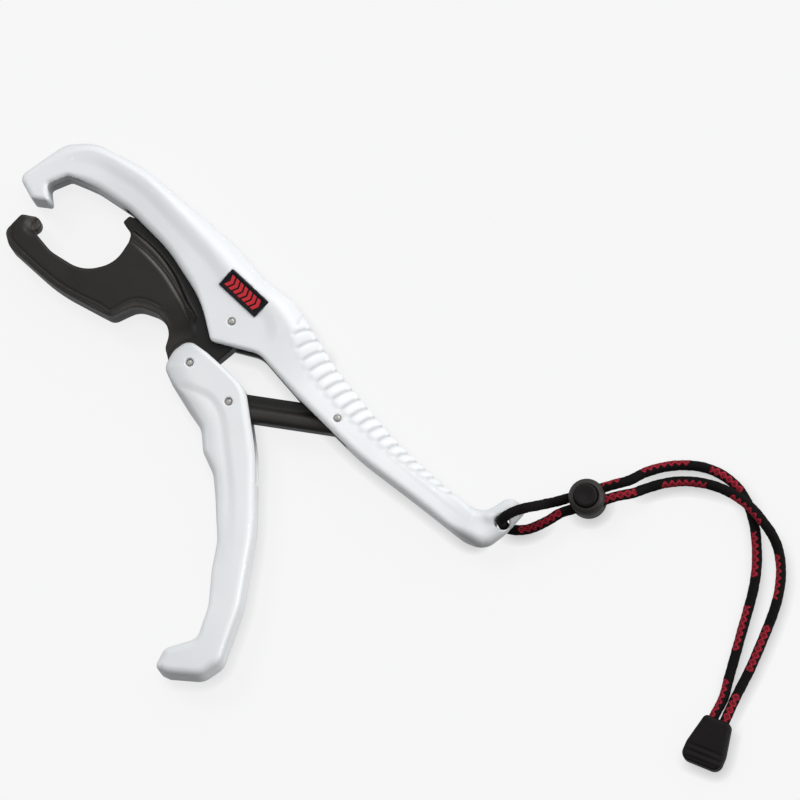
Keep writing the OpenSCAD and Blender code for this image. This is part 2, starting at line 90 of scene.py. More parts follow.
TRIGGER = [
    (-11.4, -21.6, 8), (-10.4, -28.6, 5), (-3.6, -32.4, 5), (7, -36.6, 12), (14.8, -39.2, 8),
    (20.4, -45.6, 8), (28.8, -50.2, 10), (35.4, -57.4, 10), (45.4, -69.2, 14),
    (50.6, -79.6, 10), (58.0, -91.4, 20), (61.8, -103.4, 5), (54.0, -113.6, 4),
    (55.4, -122.0, 2.6), (60.4, -121.0, 3), (71.2, -114.4, 7), (74.2, -105.8, 7),
    (67.4, -84.2, 40), (53.8, -57.4, 80), (36.4, -34, 60), (19.2, -17.0, 12),
    (7.5, -15.6, 20), (-0.4, -14.8, 7), (-9.2, -14.8, 8)]
# hollow in the trigger
FORK = [
    (-20, -10, 0.1), (-20, -30.2, 0.1), (3, -30.2, 4), (13, -32.4, 8), (26, -36, 6),
    (40, -45.5, 3), (52, -36, 0.1), (52, -10, 0.1)]

# ---------------------------------------------------------------- pins, screws and holes: x, y
JAW_PIN, TRIGGER_PIN = (0, 0), (-3.34, -21.73)
LINK_FRONT_PIN, LINK_REAR_PIN = (17.5, -25.01), (54.38, -5.98)
CORD_HOLE = (127.4, -1.0)
BODY_SCREWS = [(-77, 17.4), (-28, 20), (31, 9.2), (65.2, -5.4), (117, -8.4)]
TRIGGER_SCREWS = [(14.5, -35.4), (45.2, -60.5), (66.5, -107)]
PIN_BORE, PIN_RECESS = 1.27, 1.62  # radii
PIN_FAR_END = MID - 1.65  # where a blind pin bore stops in a far half
SCREW_BORE, SCREW_RECESS, SCREW_DEPTH = 1.3, 2.35, 2.05
HOLLOW_RISE = 5.1  # half depth of the channel and the fork
MARK_RISE = 5.6  # how far up from the seam the hollows are shaded

BADGE, BADGE_TURN = (-2.7, 11.2), math.radians(-6.7)
BADGE_HALF = (9.3, 3.8)  # half length, half width
BADGE_CLEARANCE = 0.12

# ---------------------------------------------------------------- lines on the faces: x, y
# where the body face turns over towards the +y edge
CREST = [
    (-96, -6), (-95.2, 0), (-92.5, 7), (-89, 13), (-83.5, 18.6), (-75.8, 21.2), (-67.2, 22.3),
    (-58.4, 22.6), (-49.8, 21.5), (-38.7, 19.4), (-27.6, 17.1), (-16, 14.8), (-4, 14.2),
    (6, 14.2), (13.9, 12.1), (20, 9.4), (25.7, 5.4), (30.1, 2.9), (34.4, 1.1), (39.1, -0.4),
    (47.9, -2.4), (57.4, -4.0), (66.3, -4.8), (80.4, -5.7), (104.5, -5.9), (118, -6.5)]
# closed edge of the dished face round the badge and along the jaw arm
DISH = [
    (-110, -30), (-99, 6), (-93, 12), (-86, 17.4), (-75.8, 20.6), (-67.2, 21.6), (-58.4, 22.0),
    (-49.8, 20.9), (-38.7, 18.8), (-27.6, 16.5), (-16, 14.4), (-4, 13.9), (6, 13.4),
    (12.6, 11.0), (17.0, 7.0), (18.6, 1.8), (17.6, -5), (14, -30)]
# +y and -y ends of the grooves between the grip ribs, paired in order
RIB_OUT = [
    (19.7, 17.5), (25.3, 15.0), (29.8, 13.5), (34.1, 11.8), (38.4, 10.2), (42.7, 8.8),
    (47.1, 7.4), (51.5, 6.2), (55.8, 4.8), (60.3, 3.8), (64.7, 2.7), (69.1, 1.6), (73.8, 0.7),
    (78.5, -0.1), (83.1, -1.1), (87.9, -1.5), (92.5, -2.1), (97.0, -2.3), (101.7, -2.8),
    (106.4, -2.9)]
RIB_IN = [
    (20.6, 14.0), (21.8, 9.7), (25.7, 5.4), (30.1, 2.9), (34.4, 1.1), (39.1, -0.4),
    (43.4, -1.5), (47.9, -2.4), (53.0, -3.2), (57.4, -4.0), (61.8, -4.4), (66.3, -4.8),
    (71.2, -5.1), (75.9, -5.5), (80.4, -5.7), (85.2, -5.8), (90.0, -5.8), (94.7, -5.8),
    (99.4, -5.8), (104.1, -5.9)]
# soft valley down the trigger face
VALLEY = [
    (-12, -36), (-6, -33.4), (-2.2, -31.9), (0.8, -30.9), (5.6, -29.5), (10.4, -28.8),
    (14.9, -29.9), (18.9, -32.4), (24.2, -37.8), (35.4, -49.6), (42.5, -58.4), (51.4, -71.0),
    (58, -82)]
# the two long sides of the trigger, facing -x and +x
TRIGGER_LEAD = [row[:2] for row in TRIGGER[-1:] + TRIGGER[:12]]
TRIGGER_BACK = [(10, -15.6)] + [row[:2] for row in TRIGGER[20:14:-1]]
TRIGGER_DIPS = [(17.6, -42.2), (32.4, -53.6), (47.6, -73.6)]
# -y rim of the jaw, then the crests where its thickness steps down towards +y
JAW_RIM = [
    (-93, -19.4), (-90.4, -22.4), (-85.6, -26.2), (-62, -28.6), (-44, -26.2), (-38.2, -25.3),
    (-33.2, -16.2), (-24.5, -13.6), (-17.5, -15.8), (-14.6, -24), (-13, -30)]
JAW_SHOULDER = [
    (-52.5, 3.0), (-49.9, 2.9), (-41, 2.3), (-31, 0.5), (-21.1, -3.1), (-15.4, -6.3),
    (-8.6, -10.5)]
JAW_SHELF = [
    (-54, 6.8), (-51.6, 6.6), (-39, 5.6), (-27.9, 2.6), (-18.4, -2.4), (-12.5, -5.2), (-8, -9)]


# ---------------------------------------------------------------- lines
def corner(before, here, after, radius):
    """Points of a rounded corner, one every 3 degrees."""
    before, here, after = (np.array(p, float) for p in (before, here, after))
    length_in, length_out = np.linalg.norm(before - here), np.linalg.norm(after - here)
    back, ahead = (before - here) / length_in, (after - here) / length_out
    angle = math.acos(max(-1, min(1, float(back @ ahead))))
    if math.degrees(angle) > 179.5:
        return [here]
    reach = min(radius / math.tan(angle / 2), 0.48 * min(length_in, length_out))
    fitted = reach * math.tan(angle / 2)
    middle = back + ahead
    centre = here + middle / np.linalg.norm(middle) * fitted / math.sin(angle / 2)
    first, last = here + back * reach - centre, here + ahead * reach - centre
    start = math.atan2(first[1], first[0])
    sweep = (math.atan2(last[1], last[0]) - start + 3 * math.pi) % (2 * math.pi) - math.pi
    count = max(1, math.ceil(abs(math.degrees(sweep)) / 3.0))
    turns = [start + sweep * i / count for i in range(count + 1)]
    return [centre + fitted * np.array([math.cos(a), math.sin(a)]) for a in turns]


def outline(rows):
    count, points = len(rows), []
    for i in range(count):
        points += corner(rows[i - 1][:2], rows[i][:2], rows[(i + 1) % count][:2], rows[i][2])
    return np.array(points)


def curve(points, pieces):
    """Catmull-Rom line through the points, each span cut into pieces."""
    points, out = np.array(points, float), []
    count = len(points)
    for i in range(count - 1):
        a, b, c, d = points[max(i - 1, 0)], points[i], points[i + 1], points[min(i + 2, count - 1)]
        for k in range(pieces + (1 if i == count - 2 else 0)):
            t = k / pieces
            out.append(0.5 * (2 * b + (c - a) * t + (2 * a - 5 * b + 4 * c - d) * t * t
                              + (3 * b - a - 3 * c + d) * t ** 3))
    return np.array(out)


# ---------------------------------------------------------------- distance fields
def inside_distance(poly, x, y):
    """Signed distance to a closed outline, negative inside."""
    px, py = x.ravel(), y.ravel()
    best, inside = np.full(px.shape, 1e12), np.zeros(px.shape, bool)
    for i in range(len(poly)):
        (ax, ay), (bx, by) = poly[i], poly[(i + 1) % len(poly)]
        ex, ey = bx - ax, by - ay
        if ex * ex + ey * ey < 1e-12:
            continue
        wx, wy = px - ax, py - ay
        t = np.clip((wx * ex + wy * ey) / (ex * ex + ey * ey), 0, 1)
        best = np.minimum(best, (wx - t * ex) ** 2 + (wy - t * ey) ** 2)
        if abs(ey) > 1e-12:
            inside ^= ((ay > py) != (by > py)) & (px < ex * (py - ay) / ey + ax)
    return (np.where(inside, -1, 1) * np.sqrt(best)).reshape(x.shape)


def side_and_run(line, x, y):
    """Signed distance to an open line, positive on its left, and the nearest point's run.

    The first and last spans carry on without end.
    """
    px, py = x.ravel(), y.ravel()
    best, sign, along = np.full(px.shape, 1e12), np.ones(px.shape), np.zeros(px.shape)
    run, count = 0.0, len(line)
    for i in range(count - 1):
        (ax, ay), (bx, by) = line[i], line[i + 1]
        ex, ey = bx - ax, by - ay
        square = ex * ex + ey * ey
        wx, wy = px - ax, py - ay
        t = (wx * ex + wy * ey) / square
        t = np.clip(t, -1e9 if i == 0 else 0, 1e9 if i == count - 2 else 1)
        gap = (wx - t * ex) ** 2 + (wy - t * ey) ** 2
        nearer = gap < best
        best = np.where(nearer, gap, best)
        sign = np.where(nearer, np.sign(ex * wy - ey * wx), sign)
        along = np.where(nearer, run + t * math.sqrt(square), along)
        run += math.sqrt(square)
    return (sign * np.sqrt(best)).reshape(x.shape), along.reshape(x.shape)


def side_distance(line, x, y):
    return side_and_run(line, x, y)[0]


def dist_to(point, x, y):
    return np.hypot(x - point[0], y - point[1])


def meet(a, b, radius):
    """Overlap of two fields with the meeting edge rounded."""
    outside = np.sqrt(np.maximum(a + radius, 0) ** 2 + np.maximum(b + radius, 0) ** 2)
    return np.minimum(np.maximum(a, b), -radius) + outside


def join(a, b, radius):
    """Union of two fields with a fillet."""
    return -meet(-a, -b, radius)


def cut(field, tool, radius=None):
    """Field less a tool, with a sharp edge unless a radius is given."""
    return np.maximum(field, -tool) if radius is None else meet(field, -tool, radius)


def rise(x, a, b):
    """Smooth step from 0 at a to 1 at b."""
    t = np.clip((x - a) / (b - a), 0, 1)
    return t * t * (3 - 2 * t)


def fall(x, a, b):
    return 1 - rise(x, a, b)


def bell(x, width):
    return np.exp(-(x / width) ** 2)


def below(top, z, cell):
    """Field of what lies below a height map, kept a true distance on steep slopes."""
    slope_x, slope_y = np.gradient(top[:, :, 0], cell)
    return (z - top) / np.sqrt(1 + slope_x ** 2 + slope_y ** 2)[:, :, None]


def grid(low, high, cell):
    """x and y of shape (nx, ny, 1), z of shape (1, 1, nz), and the first grid point."""
    axes = [np.arange(low[k] - 2.5 * cell, high[k] + 3 * cell, cell) for k in range(3)]
    x, y = np.meshgrid(axes[0], axes[1], indexing="ij")
    origin = [axis[0] for axis in axes]
    return x[:, :, None], y[:, :, None], axes[2][None, None, :], origin


def sample(plane, verts, origin, cell):
    """A flat map read at each vertex's x and y, between grid points."""
    plane = plane[:, :, 0]
    x, y = (verts[:, 0] - origin[0]) / cell, (verts[:, 1] - origin[1]) / cell
    i = np.clip(x.astype(int), 0, plane.shape[0] - 2)
    j = np.clip(y.astype(int), 0, plane.shape[1] - 2)
    u, v = np.clip(x - i, 0, 1), np.clip(y - j, 0, 1)
    return ((plane[i, j] * (1 - u) + plane[i + 1, j] * u) * (1 - v)
            + (plane[i, j + 1] * (1 - u) + plane[i + 1, j + 1] * u) * v)


# ---------------------------------------------------------------- field to mesh
CUBE_CORNERS = [(a, b, c) for a in (0, 1) for b in (0, 1) for c in (0, 1)]
CUBE_EDGES = [(0, 1), (2, 3), (4, 5), (6, 7), (0, 2), (1, 3), (4, 6), (5, 7),
              (0, 4), (1, 5), (2, 6), (3, 7)]


def crossing_points(field, cells):
    """Mean crossing point in each cell, in cell units from its first corner."""
    values = [field[cells[:, 0] + a, cells[:, 1] + b, cells[:, 2] + c] for a, b, c in CUBE_CORNERS]
    total, count = np.zeros((len(cells), 3)), np.zeros(len(cells))
    for i, j in CUBE_EDGES:
        crossed = (values[i] < 0) != (values[j] < 0)
        t = values[i][crossed] / (values[i][crossed] - values[j][crossed])
        start, end = np.array(CUBE_CORNERS[i], float), np.array(CUBE_CORNERS[j], float)
        total[crossed] += start + t[:, None] * (end - start)
        count[crossed] += 1
    return total / count[:, None]


def nets(field, origin, cell):
    """Quads of the zero surface of a sampled field, by surface nets."""
    solid = field < 0
    nx, ny, nz = field.shape
    total = sum(solid[a:nx - 1 + a, b:ny - 1 + b, c:nz - 1 + c].astype(np.int8)
                for a, b, c in CUBE_CORNERS)
    active = (total > 0) & (total < 8)
    cells = np.argwhere(active)
    index = np.full(active.shape, -1, np.int64)
    index[active] = np.arange(len(cells))
    verts = np.array(origin) + (cells + crossing_points(field, cells)) * cell
    quads = []
    # one quad round each grid edge whose two ends lie on different sides
    for axis, (b, c) in ((0, (1, 2)), (1, (2, 0)), (2, (0, 1))):
        low, high = [slice(1, -1)] * 3, [slice(1, -1)] * 3
        low[axis], high[axis] = slice(0, -1), slice(1, None)
        start, end = solid[tuple(low)], solid[tuple(high)]
        edges = np.argwhere(start != end)
        outward = start[edges[:, 0], edges[:, 1], edges[:, 2]]
        edges[:, [b, c]] += 1
        ring = []
        for step_b, step_c in ((-1, -1), (0, -1), (0, 0), (-1, 0)):
            at = edges.copy()
            at[:, b] += step_b
            at[:, c] += step_c
            ring.append(index[at[:, 0], at[:, 1], at[:, 2]])
        faces = np.stack(ring, 1)
        faces[~outward] = faces[~outward][:, ::-1]
        quads.append(faces)
    return verts, np.concatenate(quads)


def add_mark(mesh, name, values):
    attribute = mesh.attributes.new(name, "FLOAT", "POINT")
    attribute.data.foreach_set("value", np.asarray(values, np.float32).ravel())


def mesh_object(name, verts, quads, body, stands_for, slot, material, **marks):
    """Smooth quad mesh that rides a body, replaces a CAD piece and carries shading marks."""
    mesh = bpy.data.meshes.new(name)
    verts = np.asarray(verts, np.float32) * np.float32(MM)
    quads = np.asarray(quads, np.int32)
    mesh.vertices.add(len(verts))
    mesh.vertices.foreach_set("co", verts.ravel())
    mesh.loops.add(quads.size)
    mesh.loops.foreach_set("vertex_index", quads.ravel())
    mesh.polygons.add(len(quads))
    starts = np.arange(0, quads.size, quads.shape[1], dtype=np.int32)
    mesh.polygons.foreach_set("loop_start", starts)
    mesh.polygons.foreach_set("use_smooth", np.ones(len(quads), bool))
    mesh.update(calc_edges=True)
    for key, values in marks.items():
        add_mark(mesh, key, values)
    mesh.validate()
    made = bpy.data.objects.new(name, mesh)
    bpy.context.scene.collection.objects.link(made)
    mesh.materials.append(material)
    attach(made, body)
    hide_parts(stands_for)
    return made


def from_seam(verts, quads, near, seam=MID):
    """Stand a half on its seam, or mirror it below."""
    if near:
        verts[:, 2] = seam + verts[:, 2]
        return verts, quads
    verts[:, 2] = seam - verts[:, 2]
    return verts, quads[:, ::-1]


def place(verts, at, angle):
    """Turn about z, then move in x and y."""
    c, s = math.cos(angle), math.sin(angle)
    x, y = verts[:, 0].copy(), verts[:, 1].copy()
    verts[:, 0], verts[:, 1] = at[0] + c * x - s * y, at[1] + s * x + c * y
    return verts


# ---------------------------------------------------------------- shader graphs
class Graph:
    """Short ways to add nodes; any input may be a value or another node's output."""

    def __init__(self, tree):
        self.tree = tree

    def feed(self, socket, value):
        if isinstance(value, bpy.types.NodeSocket):
            self.tree.links.new(value, socket)
        elif socket.type == "RGBA":
            socket.default_value = (*value, 1)
        else:
            socket.default_value = value

    def node(self, kind, inputs=None, **settings):
        made = self.tree.nodes.new("ShaderNode" + kind)
        for key, value in settings.items():
            setattr(made, key, value)
        for key, value in (inputs or {}).items():
            self.feed(made.inputs[key], value)
        return made

    def math(self, operation, a, b):
        return self.node("Math", {0: a, 1: b}, operation=operation).outputs[0]

    def spread(self, fac, width, base):
        """fac * width + base"""
        return self.math("ADD", self.math("MULTIPLY", fac, width), base)

    def dot(self, vector, axis):
        made = self.node("VectorMath", {0: vector, 1: axis}, operation="DOT_PRODUCT")
        return made.outputs["Value"]

    def map_range(self, value, source, target, kind="LINEAR"):
        made = self.node("MapRange", {
            "Value": value, "From Min": source[0], "From Max": source[1],
            "To Min": target[0], "To Max": target[1]}, interpolation_type=kind)
        return made.outputs["Result"]

    def emission(self, colour, strength):
        return self.node("Emission", {"Color": colour, "Strength": strength}).outputs[0]


class Finish(Graph):
    """A Principled material."""

    def __init__(self, name):
        self.material = bpy.data.materials.new(name)
        self.material.use_nodes = True
        super().__init__(self.material.node_tree)
        self.shader = self.tree.nodes["Principled BSDF"]

    def set(self, **values):
        for key, value in values.items():
            self.feed(self.shader.inputs[key.replace("_", " ")], value)

    def coords(self):
        return self.node("TexCoord").outputs["Object"]

    def noise(self, scale, detail=3.0, roughness=0.5, stretch=None):
        vector = self.coords()
        if stretch:
            vector = self.node("Mapping", {"Scale": stretch, "Vector": vector}).outputs["Vector"]
        return self.node("TexNoise", {"Scale": scale, "Detail": detail, "Roughness": roughness,
                                      "Vector": vector}).outputs["Fac"]

    def ramp(self, fac, *stops):
        """Colour ramp through two stops of (position, colour)."""
        made = self.node("ValToRGB", {"Fac": fac})
        for element, (position, colour) in zip(made.color_ramp.elements, stops):
            element.position, element.color = position, (*colour, 1)
        return made.outputs["Color"]

    def mask(self, fac, start, end, peak=1.0):
        """Black at start rising to a grey peak at end."""
        return self.ramp(fac, (start, (0, 0, 0)), (end, (peak, peak, peak)))

    def wear(self, start, end, peak=1.0):
        """Mask on convex edges, from the mesh's own curvature."""
        return self.mask(self.node("NewGeometry").outputs["Pointiness"], start, end, peak)

    def mix(self, a, b, fac, kind="MIX"):
        made = self.node("Mix", data_type="RGBA", blend_type=kind)
        for socket, value in ((6, a), (7, b), (0, fac)):
            self.feed(made.inputs[socket], value)
        return made.outputs[2]

    def mark(self, name):
        return self.node("Attribute", attribute_name=name).outputs["Fac"]

    def bump(self, height, strength, distance):
        made = self.node("Bump", {"Strength": strength, "Distance": distance, "Height": height})
        self.feed(self.shader.inputs["Normal"], made.outputs["Normal"])


def tint(colour, gain):
    return tuple(gain * c for c in colour)


# ---------------------------------------------------------------- materials
def white_plastic():
    m = Finish("shell_white")
    cloud = m.noise(scale=38, detail=2.0)
    fine = m.noise(scale=900, detail=2.0, roughness=0.6)
    grain = m.noise(scale=3800, detail=1.0)
    colour = m.ramp(cloud, (0.3, (0.712, 0.724, 0.735)), (0.7, (0.742, 0.751, 0.758)))
    specks = m.noise(scale=1500, detail=1.0, roughness=0.4)
    specks = m.ramp(specks, (0.70, (1, 1, 1)), (0.80, (0.93, 0.93, 0.925)))
    colour = m.mix(colour, specks, 1.0, "MULTIPLY")
    colour = m.mix(colour, (0.80, 0.808, 0.814), m.wear(start=0.50, end=0.60))
    # painted shade: grey in the grooves and on shaded faces, near black in the hollows; painted
    # light on lit spots
    colour = m.mix(colour, (0.42, 0.43, 0.44), m.mark("groove"))
    colour = m.mix(colour, (0.030, 0.031, 0.034), m.mark("painted_deep_shade"))
    colour = m.mix(colour, (0.90, 0.905, 0.91), m.mark("lift"))
    m.set(Base_Color=colour, Roughness=m.spread(fine, width=0.12, base=0.30),
          Specular_IOR_Level=0.5, Coat_Weight=0.08, Coat_Roughness=0.22)
    height = m.math("ADD", m.math("MULTIPLY", fine, 0.6), m.math("MULTIPLY", grain, 0.25))
    m.bump(height, strength=0.16, distance=0.00008)
    return m.material


def black_plastic(name, base, roughness, bump, specular):
    m = Finish(name)
    cloud = m.noise(scale=60)
    fine = m.noise(scale=1400, roughness=0.65)
    flow = m.noise(scale=500, stretch=(0.25, 1.0, 1.0))
    colour = m.ramp(cloud, (0.3, tint(base, 0.82)), (0.7, tint(base, 1.18)))
    colour = m.mix(colour, tint(base, 2.0), m.mask(fine, start=0.58, end=0.75, peak=0.7))
    colour = m.mix(colour, tint(base, 2.4), m.wear(start=0.51, end=0.60, peak=0.8))
    # painted highlights and painted reflections lighten the first set of marked spots
    rubbed = m.math("MULTIPLY", m.mark("rub"), m.math("ADD", fine, 0.25))
    colour = m.mix(colour, (0.165, 0.153, 0.140), rubbed)
    # painted shade darkens the second set of marked spots
    colour = m.mix(colour, tint(base, 0.45), m.mark("dim"))
    gloss_range = 0.18  # width of the roughness spread, centred on the given roughness
    m.set(Base_Color=colour, Specular_IOR_Level=specular,
          Roughness=m.spread(flow, width=gloss_range, base=roughness - gloss_range / 2))
    m.bump(m.math("ADD", fine, m.math("MULTIPLY", flow, 0.5)), strength=bump, distance=0.00010)
    return m.material


def steel():
    m = Finish("steel")
    brushed = m.noise(scale=1500, detail=4.0, roughness=0.6, stretch=(1, 1, 0.15))
    fine = m.noise(scale=4200, detail=2.0)
    m.set(Base_Color=m.ramp(brushed, (0.3, (0.34, 0.335, 0.315)), (0.7, (0.50, 0.49, 0.465))),
          Metallic=1.0, Roughness=m.spread(brushed, width=0.15, base=0.34))
    m.bump(fine, strength=0.2, distance=0.00003)
    return m.material


def washer_plastic():
    m = Finish("washer_plastic")
    base = (0.8, 0.79, 0.74)
    cloud = m.noise(scale=300)
    fine = m.noise(scale=2500, detail=2.0)
    m.set(Base_Color=m.ramp(cloud, (0.3, tint(base, 0.92)), (0.7, tint(base, 1.05))),
          Roughness=m.spread(fine, width=0.15, base=0.38))
    m.bump(fine, strength=0.2, distance=0.00006)
    return m.material


def foam():
    m = Finish("float_foam")
    cells = m.node("TexVoronoi", {"Scale": 1400, "Vector": m.coords()}).outputs["Distance"]
    m.set(Base_Color=m.ramp(cells, (0.0, (0.70, 0.68, 0.60)), (0.6, (0.86, 0.84, 0.76))),
          Roughness=0.85)
    m.bump(cells, strength=0.6, distance=0.0002)
    return m.material


def badge_black():
    m = Finish("badge_black")
    cloud = m.noise(scale=700)
    fine = m.noise(scale=2600, detail=2.0)
    colour = m.ramp(cloud, (0.3, (0.004, 0.004, 0.0055)), (0.7, (0.008, 0.008, 0.011)))
    colour = m.mix(colour, (0.022, 0.023, 0.032), m.wear(start=0.51, end=0.62))
    m.set(Base_Color=colour, Roughness=m.spread(cloud, width=0.1, base=0.34),
          Specular_IOR_Level=0.12)
    m.bump(fine, strength=0.25, distance=0.00005)
    return m.material


def badge_red():
    m = Finish("badge_red")
    cloud = m.noise(scale=900)
    fine = m.noise(scale=3000, detail=2.0)
    colour = m.ramp(cloud, (0.3, (0.30, 0.0030, 0.0060)), (0.7, (0.40, 0.0045, 0.0085)))
    colour = m.mix(colour, (0.52, 0.018, 0.026), m.wear(start=0.50, end=0.60, peak=0.7))
    m.set(Base_Color=colour, Roughness=m.spread(cloud, width=0.1, base=0.36),
          Specular_IOR_Level=0.25)
    m.bump(fine, strength=0.2, distance=0.00004)
    return m.material


def cord_weave():
    m = Finish("cord_weave")
    fuzz = m.noise(scale=2600, detail=4.0, roughness=0.7)
    streak = m.noise(scale=900, detail=2.0, roughness=0.6)
    black = m.ramp(fuzz, (0.25, (0.0030, 0.0024, 0.0022)), (0.75, (0.0078, 0.0066, 0.0062)))
    red = m.ramp(fuzz, (0.25, (0.23, 0.010, 0.022)), (0.75, (0.44, 0.025, 0.045)))
    colour = m.mix(black, red, m.mark("red"))
    # painted shade in the gaps between threads
    painted_gap_shade = m.ramp(m.mark("thread"), (0.0, (0.30, 0.30, 0.30)), (0.55, (1, 1, 1)))
    m.set(Base_Color=m.mix(colour, painted_gap_shade, 1.0, "MULTIPLY"),
          Roughness=m.spread(streak, width=0.2, base=0.66), Specular_IOR_Level=0.07,
          Sheen_Weight=0.02, Sheen_Roughness=0.5)
    m.bump(m.math("ADD", fuzz, m.math("MULTIPLY", streak, 0.6)), strength=0.55, distance=0.00012)
    return m.material


WHITE = white_plastic()
JAW_BLACK = black_plastic("jaw_black", base=(0.0150, 0.0132, 0.0118), roughness=0.44,
                          bump=0.42, specular=0.22)
STEEL = steel()
LOCK_BLACK = black_plastic("lock_black", base=(0.0235, 0.0200, 0.0182), roughness=0.50,
                           bump=0.35, specular=0.26)
BUTTON_BLACK = black_plastic("button_black", base=(0.0080, 0.0064, 0.0064), roughness=0.50,
                             bump=0.3, specular=0.12)
CAP_BLACK = black_plastic("cap_black", base=(0.0075, 0.0060, 0.0058), roughness=0.55,
                          bump=0.35, specular=0.10)
WASHER, FOAM = washer_plastic(), foam()
BADGE_BLACK, BADGE_RED, WEAVE = badge_black(), badge_red(), cord_weave()


# ---------------------------------------------------------------- shared by both shells
def in_slot(shape, verts):
    """1 for vertices inside a hollow of the given outline, 0 above MARK_RISE."""
    gap = inside_distance(outline(shape), verts[:, 0], verts[:, 1])
    return fall(gap, 0.0, 0.45) * fall(verts[:, 2], MARK_RISE - 0.5, MARK_RISE)


def pin_holes(field, x, y, up, pins, near, recess_floor):
    """Through bores with a recess in the near half, blind bores in the far half."""
    for pin in pins:
        gap = dist_to(pin, x, y)
        if near:
            field = cut(field, gap - PIN_BORE)
            field = cut(field, np.maximum(gap - PIN_RECESS, recess_floor - up), 0.12)
        else:
            field = cut(field, np.maximum(gap - PIN_BORE, up - PIN_FAR_END))
    return field


def screw_holes(field, x, y, up, screws):
    for screw in screws:
        gap = dist_to(screw, x, y)
        field = cut(field, np.maximum(gap - SCREW_RECESS, MID - SCREW_DEPTH - up), 0.2)
        field = cut(field, gap - SCREW_BORE)
    return field


# ---------------------------------------------------------------- body halves
def body_face(x, y, edge, crest, arm, bar, tail):
    """Height of the face above the seam, before the grip ribs."""
    depth = np.maximum(-edge, 0)
    # the face turns over beyond the crest, down to the +y edge
    outer = np.maximum(crest, 0)
    width = outer + depth
    turn = outer / (width + 1e-6)
    ribbed = rise(x, 17, 27) * fall(x, 109, 116)
    plain_drop = 0.42 * np.minimum(width, 9.0) * turn ** 1.8
    ribbed_drop = 0.36 * np.minimum(width, 9.0) * (0.40 * turn + 0.60 * turn ** 2)
    top = MID - (plain_drop * (1 - ribbed) + ribbed_drop * ribbed) * (1 - tail)
    # shallow dish round the badge and along the jaw arm
    dish = inside_distance(curve(DISH, 5), x, y) - 1.9 * arm
    top -= 0.84 * rise(-dish, -0.4, 5.6) * rise(x, -92, -70)
    # the -y bar of the handle falls away from the crest
    inner = np.maximum(-crest, 0)
    lean = inner / (inner + depth + 1e-6)
    return top - bar * 1.45 * (1 - lean) ** 1.15


def rib_distance(x, y):
    """Distance to the nearest groove between ribs; each bows a little and runs past the edge."""
    nearest = np.full(x.shape, 1e3)
    for out_end, in_end in zip(np.array(RIB_OUT), np.array(RIB_IN)):
        bow = np.array([-0.15, 0.85]) * 0.12 * np.linalg.norm(out_end - in_end)
        middle = (out_end + in_end) / 2 + bow
        beyond = out_end + (out_end - middle) * 0.6
        line = curve([in_end, middle, out_end, beyond], 4)
        for start, end in zip(line[:-1], line[1:]):
            span = end - start
            t = ((x - start[0]) * span[0] + (y - start[1]) * span[1]) / (span @ span)
            t = np.clip(t, 0, 1)
            gap = np.hypot(x - start[0] - t * span[0], y - start[1] - t * span[1])
            nearest = np.minimum(nearest, gap)
    return nearest


def body_marks(verts, near, edge, crest, line, cushion):
    """Shading marks of the body; the last four arguments are read at the vertices."""
    x, y, up = verts.T
    height = (MID + up if near else MID - up) / THICK
    # painted shade on the wall of the notch on the -y side of the jaw arm
    wall = (np.abs(edge) < 0.7) * (up < (8.0 if near else 8.9))
    notch = (wall * rise(x, -89.5, -87) * fall(x, -54, -50) * rise(y, -2.5, 0.5)
             * (crest < -3))
    further = rise(x, -83, -68)
    notch = notch * ((0.85 - 0.25 * height) * (1 - further) + further * (0.62 - 0.55 * height))
    # painted shade at the +x end of the lanyard lobe
    end = (0.34 - 0.20 * rise(y, -1, 3)) * rise(x + 0.25 * y, 128.2, 131.5)
    # painted shade along the two -y edges of the lobe, through the body corners there
    under = np.maximum(0.15 * (x - 118.4) - 0.99 * (y + 14.6),
                       0.85 * (x - 127.6) - 0.5 * (y + 13.2))
    under = 0.34 * rise(under, -3.6, -0.3) * rise(x, 106, 121)
    # painted shade on the jaw arm's face and in the rib grooves, painted light on the rib cushions
    arm = 0.20 * rise(x, -80, -62) * fall(x, -46, -22) * rise(-crest, 1, 4) * (up > 4)
    ribs = np.clip(line * cushion, 0, 1) * (up > 3) * (0.8 if near else 0.5)
    # near-black painted shade inside the channel, joined by the notch and lobe marks above
    painted_deep_shade = in_slot(CHANNEL, verts)
    for mark in (notch, end, under):
        painted_deep_shade = np.maximum(painted_deep_shade, mark)
    return {"painted_deep_shade": painted_deep_shade, "groove": np.maximum(arm, ribs),
            "lift": 0.16 * np.clip(cushion, 0, 1) * (1 - np.clip(line, 0, 1))}


